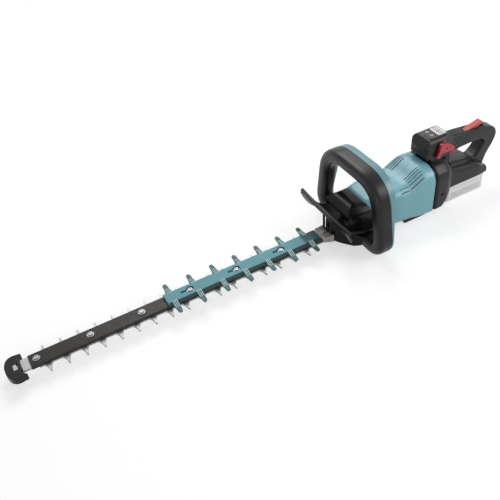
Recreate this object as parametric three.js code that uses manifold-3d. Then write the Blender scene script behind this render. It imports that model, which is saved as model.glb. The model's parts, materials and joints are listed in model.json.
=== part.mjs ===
// Cordless hedge trimmer with a double-sided shear blade and a swivelling rear handle.
// Units are millimetres. +X points back along the tool, +Y to its right, +Z up.
// The origin is on the flat underside of the gear case, below the crank axis.

import * as THREE from 'three';
import { mergeVertices } from 'three/addons/utils/BufferGeometryUtils.js';
import Module from 'manifold-3d';

const wasm = await Module();
wasm.setup();

// ---------------------------------------------------------------- driving dimensions

const GAP = 0.3; // clearance between pieces that touch
const CURVE_STEPS = 4; // straight runs per curve of an outline
const SPLIT = 0.15; // half of the joint line between two housing halves
const SCREW_R = 2; // housing and cover screws
const SCREW_HEAD_R = 4;
const SCREW_HEAD_H = 2.6;

// Cutting assembly
const BAR_TOP_Z = 31; // top face of the blade cover
const LAST_BOLT_X = -75; // the bolt that also holds the root plate
const BOLT_SPACING = 105;
const BOLT_COUNT = 7;
const TOOTH_PITCH = BOLT_SPACING / 3;
const TOOTH_COUNT = 17; // on each side of a blade
const LAST_TOOTH_X = LAST_BOLT_X - 53.5;
const TOOTH_REACH = 34.5; // tooth tip from the centre line
const TOOTH_BASE = 17; // width of a tooth where it leaves the blade
const TOOTH_TIP = 2.2;
const BLADE_THICK = 2.5;
const BLADE_HALF_W = 14; // blade strip between the teeth
const BAR_THICK = 5.4;
const BAR_HALF_W = 14.5;
const COVER_HALF_W = 16.5;
const COVER_WALL = 1.7;
const COVER_DROP = 7; // height of the cover channel
const FRONT_BOLT_X = LAST_BOLT_X - (BOLT_COUNT - 1) * BOLT_SPACING;
const COVER_FRONT_X = FRONT_BOLT_X - 14;
const COVER_REAR_X = -46;
const BAR_NOSE_X = FRONT_BOLT_X - 29; // where the bare bar narrows to its T end
const BAR_T_X = BAR_NOSE_X - 18; // front face of the T end
const BAR_T_LENGTH = 6;
const BAR_T_HALF_W = 9;
const BAR_NECK_HALF_W = 5;
const BOLT_R = 3;
const BOLT_SLOT_PLAY = 0.4;
const WASHER_R = 7;
const WASHER_H = 1.2;
const BOLT_HEAD_R = 4.8;
const BOLT_HEAD_H = 3;
const NUT_R = 6;
const NUT_H = 4.5;

// Chip guard: the comb over the rear half of the blade
const COMB_THICK = 4;
const COMB_FLOOR = 1.4; // left under the washers
const COMB_HALF_W = 19;
const PRONG_PITCH = BOLT_SPACING / 2;
const PRONG_COUNT = 7;
const PRONG_LAST_X = LAST_BOLT_X - 39;
const PRONG_FIRST_X = PRONG_LAST_X - (PRONG_COUNT - 1) * PRONG_PITCH;
const PRONG_REACH = 44;
const PRONG_HALF_W = 4.5; // each finger ends in a half circle
const PRONG_FILLET = 4; // where a finger runs into the comb
const COMB_FRONT_X = PRONG_FIRST_X - 14;
const COMB_REAR_X = LAST_BOLT_X - 16;
const KEYHOLE_HALF_W = 8;
const KEYHOLE_LENGTH = 30;

// Tip guard
const TIP_FRONT_X = BAR_T_X - 12;
const TIP_HALF_W = 31;
const TIP_LENGTH = 27;
const TIP_HEIGHT = 15;
const TIP_TOP_Z = 32.5;
const TIP_EDGE = 1.2; // rounding of its rim

// Root plate
const ROOT_FRONT_X = COMB_REAR_X + 3;
const ROOT_HALF_W = 19.5;
const ROOT_FLARE = 1; // what each side gains towards the gear case
const ROOT_THICK = 3;
const ROOT_WALL = 2.4; // side walls, outside the blade cover
const ROOT_LOW_FRONT_Z = 22.5; // lower edge of the side walls
const ROOT_LOW_REAR_Z = 14.5;
const ROOT_CORNER = 4; // chamfer of its front corners

// Crank drive
const CRANK_THROW = 8.75; // half of one blade's stroke
const CAM_R = 13;
const CAM_PLAY = 2.1; // lets the cam follow a constant-ratio stroke
const YOKE_RIM = 6;
const SHAFT_R = 5;
const BEARING_R = 11;
const BEARING_W = 6;
const GEAR_MODULE = 2;
const CRANK_TEETH = 42;
const PINION_TEETH = 8;
const GEAR_W = 8;
const TOOTH_BACKLASH = 0.5;

// Gear case
const CASE_HALF_W = 52;
const CASE_FRONT_X = -60;
const CASE_REAR_X = 84;
const CASE_REAR_HALF_W = 43; // where the motor housing sleeves over it
const CASE_NOSE_HALF_W = 13;
const CAP_HALF_W = 47; // domed cap over the waist
const CAP_RIM_Z = 76;
const CASE_TOP_Z = 78; // rim of the motor well
const CASE_DOME_Z = 104; // crown ahead of the motor
const CASE_FLOOR = 4; // thickness of the base plate

// Motor
const MOTOR_R = 29;
const STATOR_H = 20;
const STATOR_BORE_R = 17;
const ROTOR_R = 16;
const ROTOR_SHAFT_R = 3;
const FAN_R = 25;
const FAN_BLADES = 9;

// Motor housing
const SWIVEL_X = 176; // front face of the swivel ring
const SWIVEL_Z = 67; // swivel axis height
const SWIVEL_HALF = 57; // half the side of the rounded square where the two housings meet
const SWIVEL_ROUND = 36;
const SWIVEL_LOW_ROUND = 10; // its lower corners
const RING_W = 7;
const RING_INSET = 3;
const HOUSING_WALL = 3;

// Front loop handle
const LOOP_FRONT_X = -16;
const LOOP_GRIP_DEPTH = 32; // dark grip, ahead of the coloured back
const LOOP_BACK_DEPTH = 6; // coloured back at the feet
const LOOP_BACK_SWELL = 12; // what the back gains towards the top
const LOOP_BACK_SHARE = 0.62; // of the loop's thickness, on its outer side
const LOOP_THICK = 31;
const LOOP_HALF_W = 125; // outer, at the widest height
const LOOP_TOP_HALF_W = 101;
const LOOP_TOP_Z = 189;
const LOOP_BOTTOM_Z = 5.5;
const LOOP_FOOT_Y = 62; // inner end of each foot
const STUD_R = 4; // studs that hold the feet to the gear case
const STUD_LENGTH = 26;
const STUD_X = LOOP_FRONT_X + LOOP_GRIP_DEPTH / 2;
const STUD_Z = LOOP_BOTTOM_Z + LOOP_THICK / 2;

// Hand guard
const GUARD_HALF_W = 91;
const GUARD_LIP_X = -75;
const GUARD_LIP_Z = 92;
const GUARD_LIP_W = 7;
const GUARD_LIP_H = 8;
const GUARD_WALL = 3.6;
const GUARD_LEAF = 28; // how far a wing hangs below the lip at its widest
const GUARD_SWEEP = 26; // how far the lower edge lies behind the lip
const GUARD_ROOT_Y = 22; // inner end of a wing
const GUARD_STEPS = 9; // stations along a wing
const STAY_Y = 12; // stays between guard and root plate
const STAY_THICK = 2.4;
const GUARD_SCREW_Y = 6.5;
const GUARD_SCREW_Z = 74;

// Rear handle
const GRIP_HALF_W = 16;
const GRIP_ROUND = 6;
const HEAD_HALF_W = 28;
const HEAD_FRONT_X = 168;
const HEAD_TOP_Z = 178;
const HEAD_CHIN_Z = 134; // clears the corners of the motor housing as the handle turns
const BASE_HALF_W = 38;
const BASE_TOP_Z = 76;

// Battery
const BATTERY_FRONT_X = 232;
const BASE_REAR_X = BATTERY_FRONT_X + 116; // saddle above the battery
const HEAD_REAR_X = BATTERY_FRONT_X + 20;
const BATTERY_LENGTH = 112;
const BATTERY_HALF_W = 38;
const BATTERY_BOTTOM_Z = 0;
const BATTERY_TOP_Z = 40;
const RAIL_HALF_W = 23;
const RAIL_NECK_HALF_W = 18;
const RAIL_LIP_H = 3.5;
const RAIL_H = 8;

// ---------------------------------------------------------------- derived heights

const BAR_TOP = BAR_TOP_Z - COVER_WALL - GAP;
const BAR_BOTTOM = BAR_TOP - BAR_THICK;
const UPPER_BLADE_Z = BAR_BOTTOM - GAP - BLADE_THICK;
const LOWER_BLADE_Z = UPPER_BLADE_Z - GAP - BLADE_THICK;
const CASE_SLOT_LOW = LOWER_BLADE_Z - 1.5;
const CRANK_PITCH_R = (GEAR_MODULE * CRANK_TEETH) / 2;
const PINION_PITCH_R = (GEAR_MODULE * PINION_TEETH) / 2;
const MOTOR_X = CRANK_PITCH_R + PINION_PITCH_R + TOOTH_BACKLASH;

// ---------------------------------------------------------------- materials

function finish(color, roughness, metalness = 0) {
  return new THREE.MeshStandardMaterial({ color, roughness, metalness });
}

const TEAL = finish(0x4b93a0, 0.45);
const DARK_TEAL = finish(0x3a7f8c, 0.5);
const CHARCOAL = finish(0x333436, 0.6);
const RUBBER = finish(0x262627, 0.85);
const BLACK_STEEL = finish(0x3a3937, 0.5, 0.5);
const STEEL = finish(0xc4c6c8, 0.3, 1);
const CAST = finish(0xb3aca2, 0.55, 0.8);
const RED = finish(0xc03b45, 0.45);
const ORANGE_RED = finish(0xd5573f, 0.45);
const PALE = finish(0xdedbdc, 0.5);
const COPPER = finish(0xb06a3a, 0.4, 1);
const GREEN_BOARD = finish(0x2f6b45, 0.6);

// ---------------------------------------------------------------- geometry helpers

function toSolid(geometry) {
  const bare = geometry.clone();
  bare.deleteAttribute('normal');
  bare.deleteAttribute('uv');
  const merged = mergeVertices(bare, 1e-4);
  return new wasm.Manifold(
    new wasm.Mesh({
      numProp: 3,
      vertProperties: new Float32Array(merged.attributes.position.array),
      triVerts: new Uint32Array(merged.index.array),
    }),
  );
}

function toGeometry(body) {
  const mesh = body.getMesh();
  const geometry = new THREE.BufferGeometry();
  geometry.setAttribute('position', new THREE.BufferAttribute(mesh.vertProperties, 3));
  geometry.setIndex(new THREE.BufferAttribute(mesh.triVerts, 1));
  geometry.computeVertexNormals();
  return geometry;
}

const group = new THREE.Group();

function part(name, body, material) {
  const geometry = body instanceof THREE.BufferGeometry ? body : toGeometry(body);
  const mesh = new THREE.Mesh(geometry, material.clone());
  mesh.name = name;
  group.add(mesh);
}

function join(...bodies) {
  return bodies.reduce((sum, body) => sum.add(body));
}

function box(x0, x1, y0, y1, z0, z1) {
  const geometry = new THREE.BoxGeometry(x1 - x0, y1 - y0, z1 - z0);
  geometry.translate((x0 + x1) / 2, (y0 + y1) / 2, (z0 + z1) / 2);
  return toSolid(geometry);
}

// Upright cylinder or cone from z0 to z1.
function post(x, y, radius, z0, z1, sides = 24, topRadius = radius) {
  const geometry = new THREE.CylinderGeometry(topRadius, radius, z1 - z0, sides);
  geometry.rotateX(Math.PI / 2);
  geometry.translate(x, y, (z0 + z1) / 2);
  return toSolid(geometry);
}

// Cylinder along Y.
function pinAcross(x, z, radius, y0, y1, sides = 20) {
  const geometry = new THREE.CylinderGeometry(radius, radius, y1 - y0, sides);
  geometry.translate(x, (y0 + y1) / 2, z);
  return toSolid(geometry);
}

// Cylinder along X.
function pinAlong(y, z, radius, x0, x1, sides = 48, rearRadius = radius) {
  const geometry = new THREE.CylinderGeometry(rearRadius, radius, x1 - x0, sides);
  geometry.rotateZ(-Math.PI / 2);
  geometry.translate((x0 + x1) / 2, y, z);
  return toSolid(geometry);
}

// A flat outline swept along its own normal, with rounded or plain edges.
function sweep(shape, from, to, round, steps) {
  const geometry = new THREE.ExtrudeGeometry(shape, {
    depth: to - from - 2 * round,
    bevelEnabled: round > 0,
    bevelSize: round,
    bevelOffset: -round,
    bevelThickness: round,
    bevelSegments: steps,
    curveSegments: CURVE_STEPS,
  });
  return geometry.translate(0, 0, from + round);
}

// A plan outline (x, y) made into a slab between two heights.
function slab(shape, z0, z1, round = 0, steps = 2) {
  return toSolid(sweep(shape, z0, z1, round, steps));
}

// A side outline (x, z) made into a plate between two widths.
function sidePlate(shape, y0, y1, round = 0, steps = 2) {
  return toSolid(sweep(shape, -y1, -y0, round, steps).rotateX(Math.PI / 2));
}

// Side plate that is wider than its outline by grow, except at its two bevelled ends.
function flaredPlate(shape, y0, y1, grow) {
  const geometry = new THREE.ExtrudeGeometry(shape, {
    depth: y1 - y0 - 2 * grow,
    bevelSize: grow,
    bevelThickness: grow,
    bevelSegments: 1,
    curveSegments: CURVE_STEPS,
  });
  return toSolid(geometry.translate(0, 0, grow - y1).rotateX(Math.PI / 2));
}

// A cross-section outline (y, z) run along X.
function rail(shape, x0, x1, round = 0, steps = 2) {
  const turn = new THREE.Matrix4().makeBasis(
    new THREE.Vector3(0, 1, 0),
    new THREE.Vector3(0, 0, 1),
    new THREE.Vector3(1, 0, 0),
  );
  return toSolid(sweep(shape, x0, x1, round, steps).applyMatrix4(turn));
}

function polygon(points) {
  return new THREE.Shape(points.map(([a, b]) => new THREE.Vector2(a, b)));
}

// Outline through corner points, each rounded by its own radius [a, b, radius].
function rounded(corners) {
  const shape = new THREE.Shape();
  const count = corners.length;
  corners.forEach(([a, b, radius = 0], i) => {
    const corner = new THREE.Vector2(a, b);
    const before = new THREE.Vector2(...corners[(i + count - 1) % count].slice(0, 2)).sub(corner);
    const after = new THREE.Vector2(...corners[(i + 1) % count].slice(0, 2)).sub(corner);
    const reach = Math.min(radius, before.length() * 0.49, after.length() * 0.49);
    const start = corner.clone().add(before.setLength(reach));
    const end = corner.clone().add(after.setLength(reach));
    if (i === 0) {
      shape.moveTo(start.x, start.y);
    } else {
      shape.lineTo(start.x, start.y);
    }
    if (reach > 0) {
      shape.quadraticCurveTo(corner.x, corner.y, end.x, end.y);
    }
  });
  shape.closePath();
  return shape;
}

// Plan outline that is alike on both sides of the tool.
function mirroredPlan(edge) {
  return rounded([...edge, ...edge.map(([x, y, r]) => [x, -y, r]).reverse()]);
}

function stadium(x, y, halfX, halfY) {
  const shape = new THREE.Shape();
  const r = Math.min(halfX, halfY);
  if (halfX > halfY) {
    shape.absarc(x + halfX - r, y, r, -Math.PI / 2, Math.PI / 2);
    shape.absarc(x - halfX + r, y, r, Math.PI / 2, (3 * Math.PI) / 2);
  } else {
    shape.absarc(x, y + halfY - r, r, 0, Math.PI);
    shape.absarc(x, y - halfY + r, r, Math.PI, 2 * Math.PI);
  }
  return shape;
}

// Skin over a row of rings with equal point counts, closed by flat caps.
function loft(rings) {
  const count = rings[0].length;
  const positions = rings.flat().flatMap((p) => [p.x, p.y, p.z]);
  const index = [];
  for (let r = 0; r + 1 < rings.length; r += 1) {
    for (let i = 0; i < count; i += 1) {
      const a = r * count + i;
      const b = r * count + ((i + 1) % count);
      index.push(a, b, a + count, b, b + count, a + count);
    }
  }
  const last = (rings.length - 1) * count;
  for (let i = 1; i + 1 < count; i += 1) {
    index.push(0, i + 1, i, last, last + i, last + i + 1);
  }
  const geometry = new THREE.BufferGeometry();
  geometry.setAttribute('position', new THREE.Float32BufferAttribute(positions, 3));
  geometry.setIndex(index);
  const body = toSolid(geometry);
  return body.volume() < 0 ? toSolid(flip(geometry)) : body;
}

function flip(geometry) {
  const turned = geometry.clone();
  const index = turned.index.array;
  for (let i = 0; i < index.length; i += 3) {
    [index[i], index[i + 1]] = [index[i + 1], index[i]];
  }
  return turned;
}

// Rounded rectangle across X: one section of a housing.
function section({ x, halfW, top, bottom, round, roundLow = round }, segments = 5) {
  const ring = [];
  const arc = (y, z, radius, from) => {
    for (let i = 0; i <= segments; i += 1) {
      const angle = from + (Math.PI / 2) * (i / segments);
      ring.push(new THREE.Vector3(x, y + radius * Math.cos(angle), z + radius * Math.sin(angle)));
    }
  };
  const r = Math.min(round, halfW * 0.999, (top - bottom) / 2 - 0.01);
  const low = Math.min(roundLow, halfW * 0.999, (top - bottom) / 2 - 0.01);
  arc(halfW - r, top - r, r, 0);
  arc(-halfW + r, top - r, r, Math.PI / 2);
  arc(-halfW + low, bottom + low, low, Math.PI);
  arc(halfW - low, bottom + low, low, (3 * Math.PI) / 2);
  return ring;
}

function inset(profile, wall) {
  return {
    ...profile,
    halfW: profile.halfW - wall,
    top: profile.top - wall,
    bottom: profile.bottom + wall,
    round: Math.max(profile.round - wall, 0.5),
    roundLow: Math.max((profile.roundLow ?? profile.round) - wall, 0.5),
  };
}

// Half of a symmetric body: side is -1 for the left half, 1 for the right.
function half(body, side) {
  const FAR = 1000;
  const keep = side < 0 ? box(-FAR, FAR, -FAR, -SPLIT, -FAR, FAR) : box(-FAR, FAR, SPLIT, FAR, -FAR, FAR);
  return body.intersect(keep);
}

// ---------------------------------------------------------------- cutting assembly

const YOKE_HALF_X = CAM_R + CAM_PLAY + YOKE_RIM;
const YOKE_SLOT_Y = CRANK_THROW + CAM_R + GAP;
const YOKE_HALF_Y = YOKE_SLOT_Y + YOKE_RIM;
const YOKE_ROUND = 14;

function boltX(i) {
  return FRONT_BOLT_X + i * BOLT_SPACING;
}

function toothX(i) {
  return LAST_TOOTH_X - (TOOTH_COUNT - 1 - i) * TOOTH_PITCH;
}

// One side of the blade from tip to root; each tooth has hollow flanks and a blunt point.
function bladeEdge() {
  const flankX = TOOTH_BASE * 0.17;
  const flankY = BLADE_HALF_W + (TOOTH_REACH - BLADE_HALF_W) * 0.36;
  const points = [[toothX(0) - TOOTH_BASE, BLADE_HALF_W]];
  for (let i = 0; i < TOOTH_COUNT; i += 1) {
    const x = toothX(i);
    points.push([x - TOOTH_BASE / 2, BLADE_HALF_W], [x - flankX, flankY]);
    points.push([x - TOOTH_TIP / 2, TOOTH_REACH], [x + TOOTH_TIP / 2, TOOTH_REACH]);
    points.push([x + flankX, flankY], [x + TOOTH_BASE / 2, BLADE_HALF_W]);
  }
  points.push([0, BLADE_HALF_W]);
  return points;
}

function mirroredOutline(edge) {
  const other = edge.map(([x, y]) => [x, -y]).reverse();
  return polygon([...edge, ...other]);
}

function shearBlade(z0) {
  const z1 = z0 + BLADE_THICK;
  const strip = slab(mirroredOutline(bladeEdge()), z0, z1);
  const yoke = slab(
    rounded([
      [-YOKE_HALF_X, -YOKE_HALF_Y, YOKE_ROUND],
      [YOKE_HALF_X, -YOKE_HALF_Y, YOKE_ROUND],
      [YOKE_HALF_X, YOKE_HALF_Y, YOKE_ROUND],
      [-YOKE_HALF_X, YOKE_HALF_Y, YOKE_ROUND],
    ]),
    z0,
    z1,
  );
  let blade = strip.add(yoke).subtract(
    slab(stadium(0, 0, CAM_R + CAM_PLAY, YOKE_SLOT_Y), z0 - 1, z1 + 1),
  );
  const slotHalf = CRANK_THROW + BOLT_R + BOLT_SLOT_PLAY;
  for (let i = 0; i < BOLT_COUNT; i += 1) {
    const slot = stadium(boltX(i), 0, slotHalf, BOLT_R + BOLT_SLOT_PLAY);
    blade = blade.subtract(slab(slot, z0 - 1, z1 + 1));
  }
  return blade;
}

function drilled(body, count, radius) {
  let result = body;
  for (let i = 0; i < count; i += 1) {
    result = result.subtract(post(boltX(i), 0, radius, 0, BAR_TOP_Z + 20, 12));
  }
  return result;
}

// Flat steel bar that carries everything; its T end locks into the tip guard.
function guideBar() {
  const shape = mirroredOutline([
    [BAR_T_X, BAR_T_HALF_W],
    [BAR_T_X + BAR_T_LENGTH, BAR_T_HALF_W],
    [BAR_T_X + BAR_T_LENGTH, BAR_NECK_HALF_W],
    [BAR_NOSE_X, BAR_NECK_HALF_W],
    [BAR_NOSE_X, BAR_HALF_W],
    [COVER_REAR_X, BAR_HALF_W],
  ]);
  const bar = slab(shape, BAR_BOTTOM, BAR_TOP);
  const screwHole = post(TIP_SCREW_X, 0, SCREW_R + GAP, 0, BAR_TOP + 1, 12);
  return drilled(bar, BOLT_COUNT, BOLT_R + GAP).subtract(screwHole);
}

// Pressed channel over the guide bar.
function bladeCover() {
  const edge = COVER_WALL * 0.8;
  const low = BAR_TOP_Z - COVER_DROP;
  const innerHalf = COVER_HALF_W - COVER_WALL;
  const channel = polygon([
    [-COVER_HALF_W, low],
    [-innerHalf, low],
    [-innerHalf, BAR_TOP_Z - COVER_WALL],
    [innerHalf, BAR_TOP_Z - COVER_WALL],
    [innerHalf, low],
    [COVER_HALF_W, low],
    [COVER_HALF_W, BAR_TOP_Z - edge],
    [COVER_HALF_W - edge, BAR_TOP_Z],
    [-COVER_HALF_W + edge, BAR_TOP_Z],
    [-COVER_HALF_W, BAR_TOP_Z - edge],
  ]);
  return drilled(rail(channel, COVER_FRONT_X, COVER_REAR_X), BOLT_COUNT, BOLT_R + GAP);
}

// Through bolt: head and washer above, washer and nut under the lower blade.
function bladeBolt(i, seatZ) {
  const x = boltX(i);
  const lowZ = LOWER_BLADE_Z - GAP;
  return join(
    post(x, 0, BOLT_R, lowZ - NUT_H, seatZ + WASHER_H, 8),
    post(x, 0, WASHER_R, seatZ, seatZ + WASHER_H, 14),
    post(x, 0, BOLT_HEAD_R, seatZ + WASHER_H - 0.1, seatZ + WASHER_H + BOLT_HEAD_H, 12, BOLT_HEAD_R * 0.75),
    post(x, 0, WASHER_R, lowZ - WASHER_H, lowZ, 10),
    post(x, 0, NUT_R, lowZ - WASHER_H - NUT_H, lowZ - WASHER_H + 0.1, 6),
  );
}

// Where a bolt clamps something besides the cover, its washer sits higher.
function boltSeat(i) {
  const x = boltX(i);
  const onCover = BAR_TOP_Z + GAP;
  if (x > ROOT_FRONT_X) {
    return onCover + ROOT_THICK + GAP;
  }
  if (x > COMB_FRONT_X) {
    return onCover + COMB_FLOOR + GAP;
  }
  return onCover;
}

const TIP_REAR_X = BAR_NOSE_X - GAP;
const TIP_SCREW_X = BAR_NOSE_X - 6;
const TIP_WINDOW_HALF_W = 7;

// Kidney-shaped nose that keeps the tip out of the ground.
function tipGuard() {
  const low = TIP_TOP_Z - TIP_HEIGHT;
  const edge = [
    [TIP_FRONT_X, 15, 22],
    [TIP_FRONT_X + TIP_LENGTH * 0.42, TIP_HALF_W, 9],
    [TIP_REAR_X + 4, TIP_HALF_W - 2, 5],
    [TIP_REAR_X - 6, 17, 6],
    [TIP_REAR_X, 11, 3],
  ];
  const outline = mirroredPlan(edge);
  const pocketFront = BAR_T_X - GAP;
  return slab(outline, low, TIP_TOP_Z, TIP_EDGE)
    .subtract(
      box(pocketFront, BAR_T_X + BAR_T_LENGTH + GAP, -BAR_T_HALF_W - GAP, BAR_T_HALF_W + GAP,
        BAR_BOTTOM - GAP, BAR_TOP + GAP),
    )
    .subtract(
      box(pocketFront, TIP_REAR_X + 2, -BAR_NECK_HALF_W - GAP, BAR_NECK_HALF_W + GAP,
        BAR_BOTTOM - GAP, BAR_TOP + GAP),
    )
    .subtract(
      box(pocketFront - 1, BAR_T_X + BAR_T_LENGTH + 1, -TIP_WINDOW_HALF_W, TIP_WINDOW_HALF_W,
        BAR_TOP, TIP_TOP_Z + 1),
    )
    .subtract(post(TIP_SCREW_X, 0, SCREW_R + GAP, low - 1, BAR_TOP + 1, 12))
    .subtract(post(TIP_SCREW_X, 0, SCREW_HEAD_R + GAP, low - 1, low + SCREW_HEAD_H + GAP, 16));
}

// Screw from below that pins the tip guard to the bar.
function tipGuardScrew() {
  const low = TIP_TOP_Z - TIP_HEIGHT;
  return post(TIP_SCREW_X, 0, SCREW_HEAD_R, low, low + SCREW_HEAD_H, 16).add(
    post(TIP_SCREW_X, 0, SCREW_R, low + 1, BAR_TOP, 12),
  );
}

function prongX(i) {
  return PRONG_FIRST_X + i * PRONG_PITCH;
}

// Straight edge with round-ended fingers, one half circle at each tip.
function combEdge() {
  const tipBack = PRONG_REACH - PRONG_HALF_W;
  const points = [[COMB_FRONT_X, COMB_HALF_W]];
  for (let i = 0; i < PRONG_COUNT; i += 1) {
    const x = prongX(i);
    points.push([x - PRONG_HALF_W - PRONG_FILLET, COMB_HALF_W], [x - PRONG_HALF_W, COMB_HALF_W + PRONG_FILLET]);
    for (let k = 0; k <= 4; k += 1) {
      const angle = Math.PI - (Math.PI * k) / 4;
      points.push([x + PRONG_HALF_W * Math.cos(angle), tipBack + PRONG_HALF_W * Math.sin(angle)]);
    }
    points.push([x + PRONG_HALF_W, COMB_HALF_W + PRONG_FILLET], [x + PRONG_HALF_W + PRONG_FILLET, COMB_HALF_W]);
  }
  points.push([COMB_REAR_X, COMB_HALF_W]);
  return points;
}

// Comb of blunt prongs over the blade, with keyhole bolt pockets.
function chipGuard() {
  const low = BAR_TOP_Z + GAP;
  const top = low + COMB_THICK;
  let comb = slab(mirroredOutline(combEdge()), low, top);
  for (let i = 0; i < BOLT_COUNT; i += 1) {
    const x = boltX(i);
    if (x > COMB_FRONT_X && x < COMB_REAR_X) {
      comb = comb
        .subtract(post(x, 0, KEYHOLE_HALF_W, low + COMB_FLOOR, top + 1, 16))
        .subtract(post(x, 0, BOLT_R + GAP, low - 1, top + 1, 8))
        .subtract(slab(stadium(x - KEYHOLE_LENGTH / 2, 0, KEYHOLE_LENGTH / 4, 4.5), low - 1, top + 1));
    }
  }
  return comb;
}

// Folded plate that ties the blade stack to the gear case; its side walls deepen to the rear.
function rootPlate() {
  const low = BAR_TOP_Z + GAP;
  const top = low + ROOT_THICK;
  const rear = CASE_FRONT_X - GAP;
  const plan = mirroredPlan([
    [ROOT_FRONT_X, ROOT_HALF_W - ROOT_CORNER, 3],
    [ROOT_FRONT_X + ROOT_CORNER, ROOT_HALF_W, 3],
    [rear, ROOT_HALF_W + ROOT_FLARE],
  ]);
  const side = polygon([
    [ROOT_FRONT_X - 1, low],
    [ROOT_FRONT_X + ROOT_CORNER, ROOT_LOW_FRONT_Z],
    [rear + 1, ROOT_LOW_REAR_Z],
    [rear + 1, top],
    [ROOT_FRONT_X - 1, top],
  ]);
  const innerHalf = ROOT_HALF_W - ROOT_WALL;
  return slab(plan, ROOT_LOW_REAR_Z - 1, top)
    .intersect(sidePlate(side, -COMB_HALF_W * 2, COMB_HALF_W * 2))
    .subtract(box(ROOT_FRONT_X - 1, rear + 1, -innerHalf, innerHalf, 0, low))
    .subtract(post(LAST_BOLT_X, 0, BOLT_R + GAP, low - 1, top + 1, 16));
}

part('guide_bar', guideBar(), STEEL);
part('blade_cover', bladeCover(), BLACK_STEEL);
part('upper_blade', shearBlade(UPPER_BLADE_Z), STEEL);
part('lower_blade', shearBlade(LOWER_BLADE_Z), STEEL);
part('chip_guard', chipGuard(), DARK_TEAL);
part('tip_guard', tipGuard(), CHARCOAL);
part('tip_guard_screw', tipGuardScrew(), STEEL);
part('root_plate', rootPlate(), CAST);
for (let i = 0; i < BOLT_COUNT; i += 1) {
  part(`blade_bolt_${i + 1}`, bladeBolt(i, boltSeat(i)), STEEL);
}

// ---------------------------------------------------------------- crank drive

const LOWER_CAM_Z = LOWER_BLADE_Z - 0.4;
const UPPER_CAM_TOP = UPPER_BLADE_Z + BLADE_THICK + 0.4;
const BEARING_LOW_Z = LOWER_CAM_Z - GAP - BEARING_W;
const GEAR_Z = BAR_TOP_Z + 3;
const DECK_Z = GEAR_Z + GEAR_W + 1; // underside of the gear chamber's roof
const DECK_THICK = BEARING_W + 2;
const MOTOR_FLOOR_Z = DECK_Z + DECK_THICK;
const STATOR_Z = MOTOR_FLOOR_Z + 2;
const END_TURN_H = 4; // winding heads above and below the laminations
const FAN_Z = STATOR_Z + STATOR_H + 2;
const FAN_H = 6;
const TOP_BEARING_Z = FAN_Z + FAN_H + 1.5;

// Spur gear with straight-flanked teeth on an upright shaft.
function spurGear(x, teeth, bore, z0, z1, turn) {
  const pitchR = (GEAR_MODULE * teeth) / 2;
  const tipR = pitchR + GEAR_MODULE * 0.85;
  const rootR = pitchR - GEAR_MODULE * 1.2;
  const halfPitchAngle = (Math.PI / 2 - TOOTH_BACKLASH / GEAR_MODULE / 2) / teeth;
  const points = [];
  for (let i = 0; i < teeth; i += 1) {
    const centre = turn + (2 * Math.PI * i) / teeth;
    const spots = [
      [rootR, -1.6],
      [tipR, -0.42],
      [tipR, 0.42],
      [rootR, 1.6],
    ];
    for (const [radius, share] of spots) {
      const angle = centre + share * halfPitchAngle;
      points.push([x + radius * Math.cos(angle), radius * Math.sin(angle)]);
    }
  }
  return slab(polygon(points), z0, z1).subtract(post(x, 0, bore, z0 - 1, z1 + 1, 20));
}

// Shaft with two opposed round cams, one in each blade's yoke.
function crank() {
  return join(
    post(0, 0, SHAFT_R, BEARING_LOW_Z, DECK_Z + BEARING_W, 20),
    post(0, -CRANK_THROW, CAM_R, LOWER_CAM_Z, UPPER_BLADE_Z - GAP / 2, 24),
    post(0, CRANK_THROW, CAM_R, UPPER_BLADE_Z - GAP / 2 - 0.1, UPPER_CAM_TOP, 24),
    post(0, 0, SHAFT_R + 2.5, UPPER_CAM_TOP - 0.1, GEAR_Z - GAP, 20),
  );
}

// Plain ring: a ball bearing, bush or spacer.
function ring(x, boreR, outerR, z0, z1, sides = 16) {
  return post(x, 0, outerR, z0, z1, sides).subtract(post(x, 0, boreR, z0 - 1, z1 + 1, sides));
}

function fan() {
  const bladeLength = FAN_R - ROTOR_SHAFT_R - 4;
  let wheel = ring(MOTOR_X, ROTOR_SHAFT_R + GAP, ROTOR_SHAFT_R + 6, FAN_Z, FAN_Z + FAN_H, 12).add(
    ring(MOTOR_X, ROTOR_SHAFT_R + 4, FAN_R, FAN_Z, FAN_Z + 1.5, 18),
  );
  for (let i = 0; i < FAN_BLADES; i += 1) {
    const blade = box(0, bladeLength, -0.8, 0.8, FAN_Z + 1, FAN_Z + FAN_H)
      .rotate([0, 0, 25])
      .translate([ROTOR_SHAFT_R + 5, 0, 0])
      .rotate([0, 0, (360 * i) / FAN_BLADES])
      .translate([MOTOR_X, 0, 0])
      .intersect(post(MOTOR_X, 0, FAN_R, FAN_Z, FAN_Z + FAN_H, 18));
    wheel = wheel.add(blade);
  }
  return wheel;
}

// Stator: laminated ring with six slots and the windings' end turns.
function stator() {
  const top = STATOR_Z + STATOR_H;
  let body = ring(MOTOR_X, STATOR_BORE_R, MOTOR_R, STATOR_Z + END_TURN_H, top - END_TURN_H, 24).add(
    ring(MOTOR_X, STATOR_BORE_R, MOTOR_R - 4, STATOR_Z, top, 18),
  );
  for (let i = 0; i < 6; i += 1) {
    const slot = box(STATOR_BORE_R - 1, STATOR_BORE_R + 7, -1.5, 1.5, STATOR_Z - 1, top + 1)
      .rotate([0, 0, 60 * i])
      .translate([MOTOR_X, 0, 0]);
    body = body.subtract(slot);
  }
  return body;
}

function rotor() {
  return post(MOTOR_X, 0, ROTOR_SHAFT_R, GEAR_Z - 1, TOP_BEARING_Z + BEARING_W, 16).add(
    post(MOTOR_X, 0, ROTOR_R, STATOR_Z + 3, STATOR_Z + STATOR_H - 3, 20),
  );
}

const MOTOR_BEARING_R = 8;
const PINION_PHASE = Math.PI / PINION_TEETH;

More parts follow.
